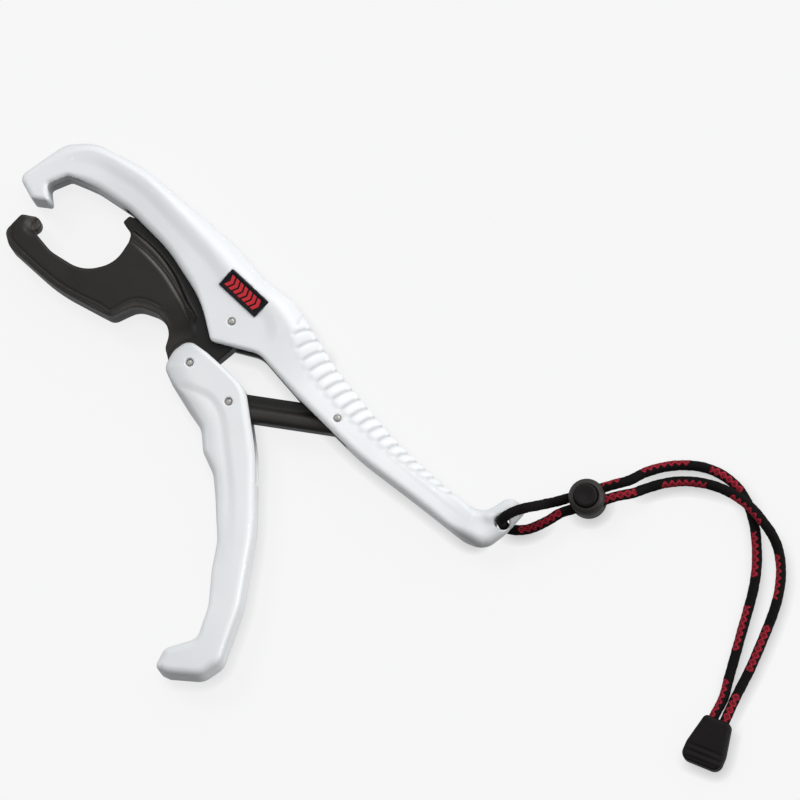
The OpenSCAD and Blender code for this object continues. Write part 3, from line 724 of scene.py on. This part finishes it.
def body_half(near):
    x, y, up, origin = grid((-100, -15.6, 0), (132.5, 28.5, MID), CELL)
    arm = rise(x, -92, -80) * fall(x, -24, -6)
    bar = rise(x, 20, 40) * fall(x, 104, 122)
    tail = rise(x, 112, 122)
    edge = inside_distance(outline(BODY), x, y)
    crest = side_distance(curve(CREST, 6), x, y) - 1.3 * arm
    top = body_face(x, y, edge, crest, arm, bar, tail)
    # grip ribs: thin curved grooves between soft cushions
    groove = rib_distance(x, y)
    span = rise(x, 18, 24) * fall(x, 112, 115)
    crown = 1 - (1 - np.clip(groove / 2.15, 0, 1)) ** 2
    cushion = rise(crest + 0.6 * crown, -0.4, 2.3) * span * (1 - 0.35 * rise(x, 70, 112))
    line = bell(groove, 0.50)
    top += cushion * (0.32 * crown - 0.08 - 0.35 * line)
    ribbed_edge = edge + span * rise(crest, 0.5, 2) * (0.55 * bell(groove, 0.62) - 0.12 * crown)
    # the lanyard lobe is thinner than the handle
    top -= rise(x + 0.30 * y, 115.5, 124.5) * (MID - (5.85 if near else 4.85))
    if not near:
        # flat bosses carry the screw heads
        for screw in BODY_SCREWS:
            boss = fall(dist_to(screw, x, y), 3.1, 5.2)
            top, cushion = top + (MID - top) * boss, cushion * (1 - boss)
    arm_side = rise(-x, 10, 24) * fall(-x, 76, 84) * rise(-crest, 4, 7)
    rounding = (1.5 + 0.5 * rise(-x, 58, 72) - 0.35 * bar * (crest < 0) + 2.7 * tail
                + 1.5 * arm_side + 1.3 * bar * rise(-crest, 1, 4))
    field = meet(ribbed_edge, below(top, up, CELL), np.minimum(rounding, 4.3))
    channel = inside_distance(outline(CHANNEL), x, y)
    field = cut(field, np.maximum(channel, up - HOLLOW_RISE), 0.35)
    field = cut(field, np.maximum(inside_distance(outline(POCKET), x, y), up - 4.4))
    field = cut(field, dist_to(CORD_HOLE, x, y) - 2.7, 0.9)
    field = pin_holes(field, x, y, up, (JAW_PIN, LINK_REAR_PIN), near, top.max() - 1.35)
    if near:
        c, s = math.cos(BADGE_TURN), math.sin(BADGE_TURN)
        dx, dy = x - BADGE[0], y - BADGE[1]
        recess = np.maximum(np.abs(dx * c + dy * s) - (BADGE_HALF[0] + BADGE_CLEARANCE),
                            np.abs(-dx * s + dy * c) - (BADGE_HALF[1] + BADGE_CLEARANCE))
        field = cut(field, np.maximum(recess, MID - 1.02 - up), 0.15)
    else:
        field = screw_holes(field, x, y, up, BODY_SCREWS)
    field = meet(field, -up, 0.28)
    verts, quads = nets(field, origin, CELL)
    read = [sample(plane, verts, origin, CELL) for plane in (edge, crest, line, cushion)]
    marks = body_marks(verts, near, *read)
    side = "near" if near else "far"
    mesh_object(f"body_{side}", *from_seam(verts, quads, near), "frame_body",
                f"body_{side}_half", "shell_white", WHITE, **marks)


# ---------------------------------------------------------------- trigger halves
def trigger_half(near):
    x, y, up, origin = grid((-12, -124.5, 0), (76, -14, MID), CELL)
    edge = inside_distance(outline(TRIGGER), x, y)
    depth = np.maximum(-edge, 0)
    valley, along = side_and_run(curve(VALLEY, 6), x, y)
    fade = fall(along, 46, 84)
    top = np.full(x.shape, MID)
    # the leading side is broadly crowned, most of all round the lobe that carries the jaw's pin
    lead = np.abs(side_distance(np.array(TRIGGER_LEAD, float), x, y))
    lead = np.clip(1 - lead / 8.6, 0, 1) * fall(-y, 84, 99)
    lobe = fall(x + 0.4 * (y + 24), 0, 12)
    top -= (0.55 + 0.70 * lobe) * lead ** 2
    # the plateau that carries the pins falls into the valley, with a finger roll beyond it
    start = rise(along, 5, 24)
    top -= (0.10 + 0.55 * fade) * fall(valley, -0.2, 3.4) * start * fall(along, 80, 98)
    front = np.maximum(-valley, 0)
    t = front / (front + depth + 1e-6)
    roll = np.sin(np.pi * np.clip(t * 1.05, 0, 1)) * 0.36 * start - 0.55 * t ** 3
    dips = sum(bell(dist_to(dip, x, y), 5.2) for dip in TRIGGER_DIPS)
    top += roll * fade - 0.45 * dips * t
    toe = rise(-y, 96, 108)
    # a shallow shoulder runs down the +x side
    back = side_distance(curve(TRIGGER_BACK, 5), x, y)
    shoulder = np.clip(1 - np.abs(back) / 9.5, 0, 1)
    top -= 0.85 * shoulder ** 2 * bell(y + 52, 20) * rise(x, 22, 34)
    rounding = (1.6 + 1.4 * toe + 1.2 * fall(valley, -5, 4) * fade
                + 1.5 * bell(back, 7) * rise(x, 10, 24) * (1 - toe))
    if not near:
        for screw in TRIGGER_SCREWS:
            top += (MID - top) * fall(dist_to(screw, x, y), 2.9, 4.2)
    field = meet(edge, below(top, up, CELL), rounding)
    fork = inside_distance(outline(FORK), x, y)
    field = cut(field, np.maximum(fork, up - HOLLOW_RISE), 0.35)
    field = pin_holes(field, x, y, up, (TRIGGER_PIN, LINK_FRONT_PIN), near, MID - 1.25)
    if not near:
        field = screw_holes(field, x, y, up, TRIGGER_SCREWS)
    field = meet(field, -up, 0.28)
    verts, quads = nets(field, origin, CELL)
    # painted shade at the toe, along the leading side round the lobe and in the fork; painted
    # light on the +x shoulder wall and the toe
    toes, leads, shoulders = (sample(plane, verts, origin, CELL)
                              for plane in (rise(-y, 90, 122), lead * lobe, shoulder))
    lift = 0.55 * rise(shoulders, 0.55, 0.95) * (1 - toes) + 0.25 * toes
    marks = {"painted_deep_shade": in_slot(FORK, verts) * fall(-verts[:, 1], 31, 38),
             "groove": np.clip(0.20 * toes + 0.46 * leads, 0, 1),
             "lift": lift * fall(verts[:, 2], 5.5, 7.5)}
    side = "near" if near else "far"
    mesh_object(f"trigger_{side}", *from_seam(verts, quads, near), "trigger",
                f"trigger_{side}_half", "shell_white", WHITE, **marks)


# ---------------------------------------------------------------- lower jaw
NUB = (-84.1, -13.8)


def lower_jaw():
    x, y, z, origin = grid((-91.5, -29.5, 0), (10, 13.5, THICK), CELL)
    off_seam = np.abs(z - MID)
    from_pin = dist_to(TRIGGER_PIN, x, y)
    # a rim stands along the -y edge, with the face inside it slightly sunk
    rim = side_distance(curve(JAW_RIM, 6), x, y)
    top = 8.5 - 0.75 * np.clip(1 - rim / 2.2, 0, 1) - 0.30 * bell(rim - 2.55, 0.38)
    # it thins down under the trigger
    top = np.minimum(top, 4.7 + 3.8 * rise(from_pin, 11, 26))
    # the hook is dished round the nub
    top = top - 1.6 * bell(np.maximum(dist_to((-83.0, -13.6), x, y) - 1.5, 0), 2.0)
    # the thick part slopes down to the step, and the step down to the blade
    shoulder = side_distance(curve(JAW_SHOULDER, 5), x, y) + 0.85 * rise(x, -46, -20) - 0.2
    top = np.maximum(top - 2.15 * rise(shoulder, -0.9, 0.5), np.minimum(top, 4.7))
    field = meet(inside_distance(outline(JAW_THICK), x, y), below(top, off_seam, CELL), 0.9)
    field = cut(field, from_pin - 9.6)
    shelf = side_distance(curve(JAW_SHELF, 5), x, y) + 0.5 + 0.9 * rise(x, -48, -22) - 0.2
    step_top = np.minimum(6.35 - 1.85 * rise(shelf, -0.7, 0.7),
                          4.55 + 1.8 * rise(from_pin, 13, 25))
    step = meet(inside_distance(outline(JAW_STEP), x, y), below(step_top, off_seam, CELL), 0.4)
    blade = meet(inside_distance(outline(JAW_BLADE), x, y), off_seam - 4.5, 0.45)
    nub_gap = dist_to(NUB, x, y)
    nub = meet(nub_gap - 2.9, off_seam - 4.0, 1.3)
    field = join(field, step, 0.5)
    field = join(field, blade, 0.5)
    field = join(field, nub, 0.6)
    for pin in (JAW_PIN, TRIGGER_PIN):
        field = cut(field, dist_to(pin, x, y) - 1.3, 0.15)
    verts, quads = nets(field, origin, CELL)
    # painted highlights on the crests of the two slopes, a painted reflection along the rim,
    # painted highlights on the nub and painted light on the slope near the trigger pin
    rub = (bell(shoulder + 1.0, 0.46) * rise(x, -50, -38) * fall(x, -27, -14)
           + 0.62 * bell(shelf + 0.75, 0.42) * rise(x, -52, -44) * fall(x, -36, -24))
    for patch in (0.36 * fall(rim, 0.2, 2.3) * (rim > -1.2) * rise(from_pin, 10, 24),
                  0.40 * fall(nub_gap, 1.8, 3.4),
                  0.09 * rise(x, -30, -16) * rise(-shoulder, 0.5, 3)):
        rub = np.maximum(rub, patch)
    off_seam = np.abs(verts[:, 2] - MID)
    rub = sample(rub, verts, origin, CELL) * rise(off_seam, 0.2, 4.0)
    # painted shade on the blade where it runs in under the body
    dim = (0.75 * fall(off_seam, 4.9, 6.6) * rise(verts[:, 1], -20, -12)
           * rise(verts[:, 0], -62, -50))
    mesh_object("jaw_moulding", verts, quads, "jaw", "lower_jaw", "jaw_black", JAW_BLACK,
                rub=np.clip(rub, 0, 1), dim=dim * (1 - np.clip(rub * 2, 0, 1)))


# ---------------------------------------------------------------- toggle link
def link():
    """Bar between its two pins, built along x from the front pin and then placed."""
    front, rear = np.array(LINK_FRONT_PIN), np.array(LINK_REAR_PIN)
    length = np.linalg.norm(rear - front)
    radius = 4.7
    x, y, z, origin = grid((-5, -5, MID - 4.6), (length + 5, 5, MID + 4.6), LINK_CELL)
    off_seam = np.abs(z - MID)
    bar = np.hypot(x - np.clip(x, 0, length), y) - radius
    front_gap, rear_gap = dist_to((0, 0), x, y), dist_to((length, 0), x, y)
    eyes = np.minimum(front_gap, rear_gap) - radius
    # thicker along one side and round the eyes
    flange = np.maximum(bar, y + 0.7)
    field = meet(bar, off_seam - 3.3, 0.6)
    field = join(field, meet(np.minimum(flange, eyes), off_seam - 4.5, 1.3), 2.4)
    field = cut(field, front_gap - 1.8, 0.2)
    field = cut(field, rear_gap - 1.3, 0.2)
    verts, quads = nets(field, origin, LINK_CELL)
    across = verts[:, 1]
    # painted shade on the web side, painted light on the flange side
    marks = {"dim": 0.7 * rise(across, -0.8, 0.6),
             "rub": 0.13 * rise(-across, -0.2, 1.2) * fall(-across, 2.2, 4.4)}
    place(verts, front, math.atan2(rear[1] - front[1], rear[0] - front[0]))
    mesh_object("link_bar", verts, quads, "link", "toggle_link", "jaw_black", JAW_BLACK, **marks)


# ---------------------------------------------------------------- lanyard
CORD_RADIUS = 1.95
CORD_GAP = 2.3  # from the cord lock's axis to each strand
CORD_HEIGHT = 7.1  # of the strands inside the lock
LOCK, LOCK_DIR = np.array([146.9, 25.5]), math.radians(52.6)
CAP, CAP_DIR = np.array([236.6, -12.9]), math.radians(-76.3)
CAP_SEAM = 4.1


def from_frame(at, direction, along, across, z):
    """A point given along and to the left of a direction."""
    ahead = np.array([math.cos(direction), math.sin(direction)])
    left = np.array([-ahead[1], ahead[0]])
    return [*(at + along * ahead + across * left), z]


def at_lock(along, side, lift=0.0):
    return from_frame(LOCK, LOCK_DIR, along, side * CORD_GAP, CORD_HEIGHT + lift)


def at_cap(depth, side):
    return from_frame(CAP, CAP_DIR, depth, side, CAP_SEAM)


# centre line of the cord from one end in the cap to the other: x, y, z
CORD = [
    at_cap(7.15, -2.05), at_cap(2.5, -2.1), at_cap(-1.5, -2.2),
    [232.7, -4.7, 3.0], [229.7, 2.5, 2.2], [226.5, 10.7, 2.05], [223.2, 19.1, 2.05],
    [220.1, 27.2, 2.05], [216.5, 35.8, 2.05], [211.9, 43.8, 2.05], [205.7, 51.5, 2.05],
    [200.6, 56.3, 2.05], [195.2, 59.9, 2.05], [188.8, 62.3, 2.05], [181.6, 62.7, 2.05],
    [174.4, 61.0, 2.1], [167.8, 57.3, 2.2], [162.2, 52.3, 2.6], [157.8, 46.4, 3.4],
    at_lock(17, 1.05, -1.2), at_lock(11, 1), at_lock(4, 1), at_lock(-4, 1), at_lock(-11, 1),
    at_lock(-14.8, 0.9, 2.6),
    [134.3, 11.4, 14.6], [132.1, 8.1, 18.0], [129.4, 4.2, 18.6], [127.8, 0.7, 18.1],
    [*CORD_HOLE, 15.4], [*CORD_HOLE, 11], [*CORD_HOLE, 6],
    [128.2, -0.9, 2.8], [131.0, 0.4, 2.05], [135.2, 3.9, 2.5],
    at_lock(-17, -1.5, -1.9), at_lock(-11, -1), at_lock(-4, -1), at_lock(4, -1),
    at_lock(11, -1), at_lock(17, -1.15, -1.2),
    [161.5, 41.5, 3.4], [165.9, 47.4, 2.6], [171.5, 52.5, 2.2], [178.1, 56.2, 2.5],
    [184.7, 58.3, 3.6], [191.4, 59.1, 5.2], [198.3, 58.8, 6.15], [205.1, 57.2, 6.0],
    [210.9, 55.2, 4.6], [215.9, 52.1, 3.0], [221.1, 46.6, 2.15], [225.4, 39.5, 2.05],
    [228.4, 31.8, 2.05], [231.3, 21.2, 2.05], [233.9, 10.5, 2.05], [235.3, 2.9, 2.3],
    [236.4, -2.7, 3.0], at_cap(-1.5, 2.2), at_cap(2.5, 2.1), at_cap(7.15, 2.05)]
# woven red patches: start along the cord, length, facing in degrees from straight up
PATCHES = [
    (7, 16, -35), (34.5, 17.5, -20), (63, 17.5, -25), (96.5, 15, 0), (119.5, 18.5, 42),
    (147, 7, 55), (217.5, 18.5, 0), (252, 12.5, 0), (275.5, 17.5, 42), (304, 16, 55),
    (333.5, 17.5, 42), (361.5, 18.5, 0), (390, 11.5, -10)]
CORD_SIDES = 60
CORD_SPACING = 0.27
THREADS = 12
THREAD_PITCH = 1.55
DIAMOND = 2.7  # length of one woven diamond
PATCH_HALF = 1.7


def cord_frames(tangents):
    """Two vectors across the cord at each ring, turned as little as possible."""
    up = np.array([0, 0, 1.0])
    normals = np.zeros_like(tangents)
    normal = up - tangents[0] * (up @ tangents[0])
    for i, tangent in enumerate(tangents):
        normal = normal - tangent * (normal @ tangent)
        normal /= np.linalg.norm(normal)
        # where the cord lies flat its upper side is pulled slowly back upwards
        pull = up - tangent * (up @ tangent)
        if np.linalg.norm(pull) > 0.6:
            normal = normal + 0.04 * pull
            normal = normal - tangent * (normal @ tangent)
            normal /= np.linalg.norm(normal)
        normals[i] = normal
    return normals, np.cross(tangents, normals)


def braid(around, along):
    """Height, 0 to 1, of threads that cross over and under in two directions."""
    a = THREADS * around / (2 * np.pi) + along / THREAD_PITCH
    b = THREADS * around / (2 * np.pi) - along / THREAD_PITCH
    over = ((np.floor(a) + np.floor(b)) % 2) < 1
    a, b = a % 1, b % 1
    return np.where(over, (1 - (2 * a - 1) ** 2) * (0.55 + 0.45 * np.sin(np.pi * b)),
                    (1 - (2 * b - 1) ** 2) * (0.55 + 0.45 * np.sin(np.pi * a)))


def red_patches(around, along, up_angle, thread):
    """Chains of woven diamonds, broken by the braid."""
    red = np.zeros_like(thread)
    for start, length, face in PATCHES:
        angle = (around - up_angle - math.radians(face) + np.pi) % (2 * np.pi) - np.pi
        across, run = angle * CORD_RADIUS, along - start
        inside = (run > 0) & (run < length) & (np.abs(across) < PATCH_HALF)
        half = DIAMOND / 2
        ring = np.abs((run % DIAMOND) - half) / half + np.abs(across) / PATCH_HALF
        soft = np.maximum(fall(np.abs(ring - 0.86), 0.27, 0.46), 0.9 * fall(ring, 0.16, 0.34))
        patch = soft * (0.35 + 0.65 * rise(thread, 0.05, 0.35))
        red = np.where(inside, np.maximum(red, patch), red)
    return red


def close_ends(mesh):
    bm = bmesh.new()
    bm.from_mesh(mesh)
    bmesh.ops.holes_fill(bm, edges=[e for e in bm.edges if e.is_boundary], sides=0)
    bmesh.ops.recalc_face_normals(bm, faces=bm.faces)
    bm.to_mesh(mesh)
    bm.free()


def cord():
    fine = curve(CORD, 24)
    run = np.concatenate([[0], np.cumsum(np.linalg.norm(np.diff(fine, axis=0), axis=1))])
    rings = int(run[-1] / CORD_SPACING)
    stations = np.linspace(0, run[-1], rings)
    points = np.stack([np.interp(stations, run, fine[:, k]) for k in range(3)], 1)
    tangents = np.gradient(points, axis=0)
    tangents /= np.linalg.norm(tangents, axis=1)[:, None]
    normals, sideways = cord_frames(tangents)
    around, along = np.meshgrid(np.linspace(0, 2 * np.pi, CORD_SIDES, endpoint=False), stations)
    thread = braid(around, along)
    # the cord is a little uneven
    wobble = (0.035 * np.sin(along * 0.9 + 1.3 * np.sin(along * 0.21))
              + 0.03 * np.sin(along * 2.3 + 2 * around))
    radius = CORD_RADIUS - 0.13 + 0.13 * thread + wobble
    up_angle = np.arctan2(sideways[:, 2], normals[:, 2])[:, None]
    red = red_patches(around, along, up_angle, thread)
    outward = (np.cos(around)[:, :, None] * normals[:, None, :]
               + np.sin(around)[:, :, None] * sideways[:, None, :])
    verts = (points[:, None, :] + radius[:, :, None] * outward).reshape(-1, 3)
    verts[:, 2] = np.maximum(verts[:, 2], 0.06)  # stays off the floor
    i = np.arange(rings - 1)[:, None] * CORD_SIDES
    k = np.arange(CORD_SIDES)[None, :]
    k2 = (k + 1) % CORD_SIDES
    ring = [i + k, i + k2, i + CORD_SIDES + k2, i + CORD_SIDES + k]
    quads = np.stack(ring, -1).reshape(-1, 4)
    made = mesh_object("cord_braid", verts, quads, "lanyard", "lanyard_cord", "cord_weave", WEAVE)
    close_ends(made.data)
    add_mark(made.data, "red", red)
    add_mark(made.data, "thread", thread)


# ---------------------------------------------------------------- cord lock
SLOT_HALF = 4.45  # half width of the cord slot through barrel and button


def lock_barrel():
    x, y, z, origin = grid((-7.2, -7.2, 0), (7.2, 7.2, 13.8), LOCK_CELL)
    gap = dist_to((0, 0), x, y)
    # a rounded ring with a waist groove and a collar round the button
    ring = meet(gap - 6.85 + 0.35 * bell(z - 10.6, 0.5), np.abs(z - 6.9) - 6.7, 2.3)
    collar = meet(gap - 5.7, np.abs(z - 12.4) - 1.2, 0.5)
    field = join(ring, collar, 0.3)
    field = cut(field, np.maximum(gap - 4.62, 1.2 - z), 0.35)
    field = cut(field, np.maximum(gap - 5.5, np.abs(z - 6.5) - 5.5))
    slot = meet(np.abs(y) - SLOT_HALF, np.abs(z - CORD_HEIGHT) - 2.25, 1.2)
    verts, quads = nets(cut(field, slot, 0.5), origin, LOCK_CELL)
    mesh_object("lock_ring", place(verts, LOCK, LOCK_DIR), quads, "cord_lock",
                "cordlock_barrel", "lock_black", LOCK_BLACK)


def lock_button():
    x, y, z, origin = grid((-5.6, -5.6, 3.8), (5.6, 5.6, 16), LOCK_CELL)
    gap = dist_to((0, 0), x, y)
    # a dished button on a wider foot
    button = meet(gap - 4.35, z - 15.85 + 0.35 * bell(gap, 2.6), 0.8)
    field = join(button, meet(gap - 5.35, z - 11.9, 0.4), 0.2)
    field = meet(field, 4.05 - z, 0.3)
    slot = meet(np.abs(y) - SLOT_HALF, np.abs(z - 8.1) - 3.1, 0.8)
    verts, quads = nets(cut(field, slot), origin, LOCK_CELL)
    mesh_object("lock_button_cap", place(verts, LOCK, LOCK_DIR), quads, "lock_button",
                "cordlock_plunger", "lock_black", BUTTON_BLACK)


# ---------------------------------------------------------------- cord end cap
# x, y, corner radius, with the mouth at y = 0
CAP_SHAPE = [(-5.3, 0.4, 1.8), (-7.9, -11.5, 10), (-7.9, -18.2, 3.5), (7.9, -18.2, 3.5),
             (7.9, -11.5, 10), (5.3, 0.4, 1.8)]
CAP_HOLLOW = [(-4.25, 2, 0.2), (-4.4, -6, 1), (-6, -16.4, 2), (6, -16.4, 2), (4.4, -6, 1),
              (4.25, 2, 0.2)]
CAP_GROOVES = (-12.2, -14.6, -17.0)


def end_cap(near):
    x, y, up, origin = grid((-8, -19, 0), (8, 0.8, 4.2), CAP_CELL)
    top = (4.1 if near else 4.02) - 0.06 * np.abs(x) ** 1.5 / 5
    field = meet(inside_distance(outline(CAP_SHAPE), x, y), below(top, up, CAP_CELL), 1.5)
    for groove in CAP_GROOVES:
        field = cut(field, np.hypot(y - groove, up - 4.5) - 0.75, 0.35)
    hollow = meet(inside_distance(outline(CAP_HOLLOW), x, y), up - 2.1, 0.5)
    field = cut(field, hollow, 0.35)
    field = meet(field, -up, 0.22)
    verts, quads = from_seam(*nets(field, origin, CAP_CELL), near, CAP_SEAM)
    place(verts, CAP, CAP_DIR + math.pi / 2)
    side = "near" if near else "far"
    mesh_object(f"cap_{side}", verts, quads, "lanyard", f"cord_cap_{side}", "lock_black",
                CAP_BLACK)


# ---------------------------------------------------------------- badge
def badge():
    """A plate with a raised border, set into its recess in the near half."""
    length, width = BADGE_HALF
    border = 0.95
    x, y, z, origin = grid((-9.4, -3.9, 0), (9.4, 3.9, 1.05), BADGE_CELL)
    plate = np.maximum(np.abs(x) - length, np.abs(y) - width)
    field = meet(meet(plate, z - 0.95, 0.22), -z, 0.05)
    inner = meet(np.abs(x) - (length - border), np.abs(y) - (width - border), 0.3)
    field = cut(field, np.maximum(inner, 0.55 - z), 0.18)
    verts, quads = nets(field, origin, BADGE_CELL)
    place(verts, BADGE, BADGE_TURN)
    verts[:, 2] += THICK - 1.0
    mesh_object("badge_frame", verts, quads, "frame_body", "badge_plate", "badge_black",
                BADGE_BLACK)


for half in (body_half, trigger_half):
    half(True)
    half(False)
lower_jaw()
link()
cord()
lock_barrel()
lock_button()
end_cap(True)
end_cap(False)
badge()

# ---------------------------------------------------------------- CAD pieces that stay
# name: material, bevel width in metres (0 for none), smooth sides
CAD_PIECES = {
    "body_screws": (STEEL, 0.00012, False),
    "trigger_screws": (STEEL, 0.00012, False),
    "jaw_pivot_pin": (STEEL, 0, True),
    "link_rear_pin": (STEEL, 0, True),
    "trigger_pivot_pin": (STEEL, 0, True),
    "link_front_pin": (STEEL, 0, True),
    "jaw_washers": (WASHER, 0.00012, False),
    "trigger_washers": (WASHER, 0.00012, False),
    "handle_float_core": (FOAM, 0, False),
    "badge_inlay": (BADGE_RED, 0.00009, False),
    "cord_end_knot": (WEAVE, 0, True),
    "cordlock_spring": (STEEL, 0, True),
}


def dress_cad_piece(piece, material, bevel_width, smooth):
    piece.data.materials.clear()
    piece.data.materials.append(material)
    if bevel_width:
        bevel = piece.modifiers.new("soft_edge", "BEVEL")
        bevel.width = bevel_width
        bevel.segments = 2
        bevel.limit_method = "ANGLE"
        bevel.angle_limit = math.radians(35)
    for face in piece.data.polygons:
        face.use_smooth = smooth and abs(face.normal.z) < 0.999


for name, look in CAD_PIECES.items():
    dress_cad_piece(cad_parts[name], *look)

# ---------------------------------------------------------------- camera
VIEW_TURN = math.radians(36.4)  # of the view about z
VIEW_TILT = math.radians(12.0)  # of the camera away from straight above
TILT_WAY = (5.5, -9.0)  # where the camera leans, as right and up in the view
VIEW_SHIFT = (63.15002, -29.554807)  # view centre from the jaw pin, right and up, mm
VIEW_WIDTH = 299.28919  # mm across the view
CAMERA_DISTANCE = 8.0  # metres
SENSOR = 36


def on_floor(vector):
    """A view direction laid on the floor, before the tilt."""
    c, s = math.cos(VIEW_TURN), math.sin(VIEW_TURN)
    return np.array([vector[0] * c - vector[1] * s, vector[0] * s + vector[1] * c])


def add_camera():
    lean = np.array(TILT_WAY) / math.hypot(*TILT_WAY)
    cross = np.array([-lean[1], lean[0]])
    lean_floor = on_floor(lean)
    lean_3d = np.array([*(lean_floor * math.cos(VIEW_TILT)), -math.sin(VIEW_TILT)])
    cross_3d = np.array([*on_floor(cross), 0.0])
    back = np.array([*(lean_floor * math.sin(VIEW_TILT)), math.cos(VIEW_TILT)])
    right = lean[0] * lean_3d + cross[0] * cross_3d
    up = lean[1] * lean_3d + cross[1] * cross_3d
    centre = np.array([0, 0, THICK]) + right * VIEW_SHIFT[0] + up * VIEW_SHIFT[1]
    position = centre * MM + back * CAMERA_DISTANCE
    lens = bpy.data.cameras.new("camera")
    camera = bpy.data.objects.new("camera", lens)
    bpy.context.scene.collection.objects.link(camera)
    lens.sensor_width = SENSOR
    lens.lens = SENSOR * CAMERA_DISTANCE / (VIEW_WIDTH * MM)
    lens.clip_start, lens.clip_end = 0.1, 40
    rows = [(right[k], up[k], back[k], position[k]) for k in range(3)]
    camera.matrix_world = Matrix((*rows, (0, 0, 0, 1)))
    bpy.context.scene.camera = camera


# ---------------------------------------------------------------- pale floor
FLOOR_HALF = 6.0  # metres
FLOOR_GLOW = 0.842
# floor directions that run right and up in the view
FLOOR_RIGHT, FLOOR_UP = (0.805, 0.593), (-0.593, 0.805)


def contact_shade(g):
    """Floor brightness as the camera sees it, darker close to the part."""
    # it looks up and to the left in the view, so the shade falls below and right of the part
    lean = Vector((FLOOR_UP[0] * 0.85 - FLOOR_RIGHT[0] * 0.30,
                   FLOOR_UP[1] * 0.85 - FLOOR_RIGHT[1] * 0.30, 0.42)).normalized()
    normal = g.node("CombineXYZ", dict(enumerate(lean))).outputs[0]
    occlusion = g.node("AmbientOcclusion", {"Distance": 0.0045, "Normal": normal}, samples=12)
    # strongest beside the handle, towards +x and +y
    position = g.node("NewGeometry").outputs["Position"]
    amount = g.map_range(g.dot(position, (1.0, 0.8, 0)), (-0.050, 0.050), (0.06, 0.55))
    shade = g.math("MULTIPLY", g.math("SUBTRACT", 1.0, occlusion.outputs["AO"]), amount)
    return g.math("MULTIPLY", g.math("SUBTRACT", 1.0, shade), FLOOR_GLOW)


def thrown_light(g, is_glossy):
    """Light thrown back at the part: strong from above it in the view, weak from below."""
    incoming = g.node("NewGeometry").outputs["Incoming"]
    strength = g.map_range(g.dot(incoming, (*FLOOR_UP, 0)), (-0.35, 0.60), (0.62, 0.12),
                           "SMOOTHSTEP")
    # reflections never see less than this
    return g.math("MAXIMUM", strength, g.math("MULTIPLY", is_glossy, 0.42))


def floor_material():
    material = bpy.data.materials.new("floor_pale")
    material.use_nodes = True
    g = Graph(material.node_tree)
    g.tree.nodes.clear()
    rays = g.node("LightPath").outputs
    diffuse = g.node("BsdfDiffuse", {"Color": (0.10, 0.10, 0.10)}).outputs[0]
    glow = g.emission((1, 1, 1), contact_shade(g))
    seen = g.node("AddShader", {0: diffuse, 1: glow}).outputs[0]
    thrown = g.emission((0.96, 0.98, 1.0), thrown_light(g, rays["Is Glossy Ray"]))
    surface = g.node("MixShader", {0: rays["Is Camera Ray"], 1: thrown, 2: seen}).outputs[0]
    g.node("OutputMaterial", {0: surface})
    return material


def add_floor():
    mesh = bpy.data.meshes.new("floor")
    corners = [(sx * FLOOR_HALF, sy * FLOOR_HALF, 0)
               for sx, sy in ((-1, -1), (1, -1), (1, 1), (-1, 1))]
    mesh.from_pydata(corners, [], [(0, 1, 2, 3)])
    made = bpy.data.objects.new("floor", mesh)
    bpy.context.scene.collection.objects.link(made)
    mesh.materials.append(floor_material())
    return made


# ---------------------------------------------------------------- soft studio light
def add_world():
    """A sky brighter round one direction; the camera itself sees an even grey."""
    world = bpy.data.worlds.new("studio")
    bpy.context.scene.world = world
    world.use_nodes = True
    g = Graph(world.node_tree)
    g.tree.nodes.clear()
    brightest = Vector((-0.247, 0.588, 0.75)).normalized()
    towards = g.dot(g.node("TexCoord").outputs["Generated"], tuple(brightest))
    strength = g.map_range(towards, (-0.55, 0.9), (0.05, 0.78), "SMOOTHSTEP")
    sky = g.node("Background", {"Color": (0.97, 0.985, 1.0), "Strength": strength}).outputs[0]
    plain = g.node("Background", {"Color": (0.93, 0.93, 0.93)}).outputs[0]
    is_camera = g.node("LightPath").outputs["Is Camera Ray"]
    surface = g.node("MixShader", {0: is_camera, 1: sky, 2: plain}).outputs[0]
    g.node("OutputWorld", {0: surface})


# name, direction towards the sun, strength, angular size in degrees, and whether
# it leaves the floor out (EXCLUDE) or lights the floor alone (INCLUDE)
SUNS = [
    ("key", (-0.03, 0.75, 0.85), 1.00, 28, "EXCLUDE"),
    ("soft", (-0.9, 0.75, 1.9), 0.16, 30, "EXCLUDE"),
    ("right", (0.81, 0.52, 0.23), 1.35, 26, "EXCLUDE"),
    ("left", (-0.77, -0.545, 0.32), 0.57, 26, "EXCLUDE"),
    ("cast", (-0.72, 0.16, 1.0), 0.95, 18, "INCLUDE"),
]


def add_sun(floor, name, direction, strength, angle, floor_state):
    light = bpy.data.lights.new(name, "SUN")
    light.energy, light.angle = strength, math.radians(angle)
    lamp = bpy.data.objects.new(name, light)
    bpy.context.scene.collection.objects.link(lamp)
    lamp.rotation_mode = "QUATERNION"
    lamp.rotation_quaternion = Vector(direction).normalized().to_track_quat("Z", "Y")
    group = bpy.data.collections.new(name + "_floor")
    group.objects.link(floor)
    group.collection_objects[0].light_linking.link_state = floor_state
    lamp.light_linking.receiver_collection = group


def set_render():
    scene = bpy.context.scene
    scene.view_settings.view_transform = "Standard"
    scene.view_settings.look = "None"
    scene.view_settings.exposure = 0
    scene.view_settings.gamma = 1
    scene.cycles.use_denoising = True
    scene.cycles.max_bounces = 6
    scene.cycles.sample_clamp_indirect = 4


add_camera()
floor = add_floor()
add_world()
for row in SUNS:
    add_sun(floor, *row)
set_render()
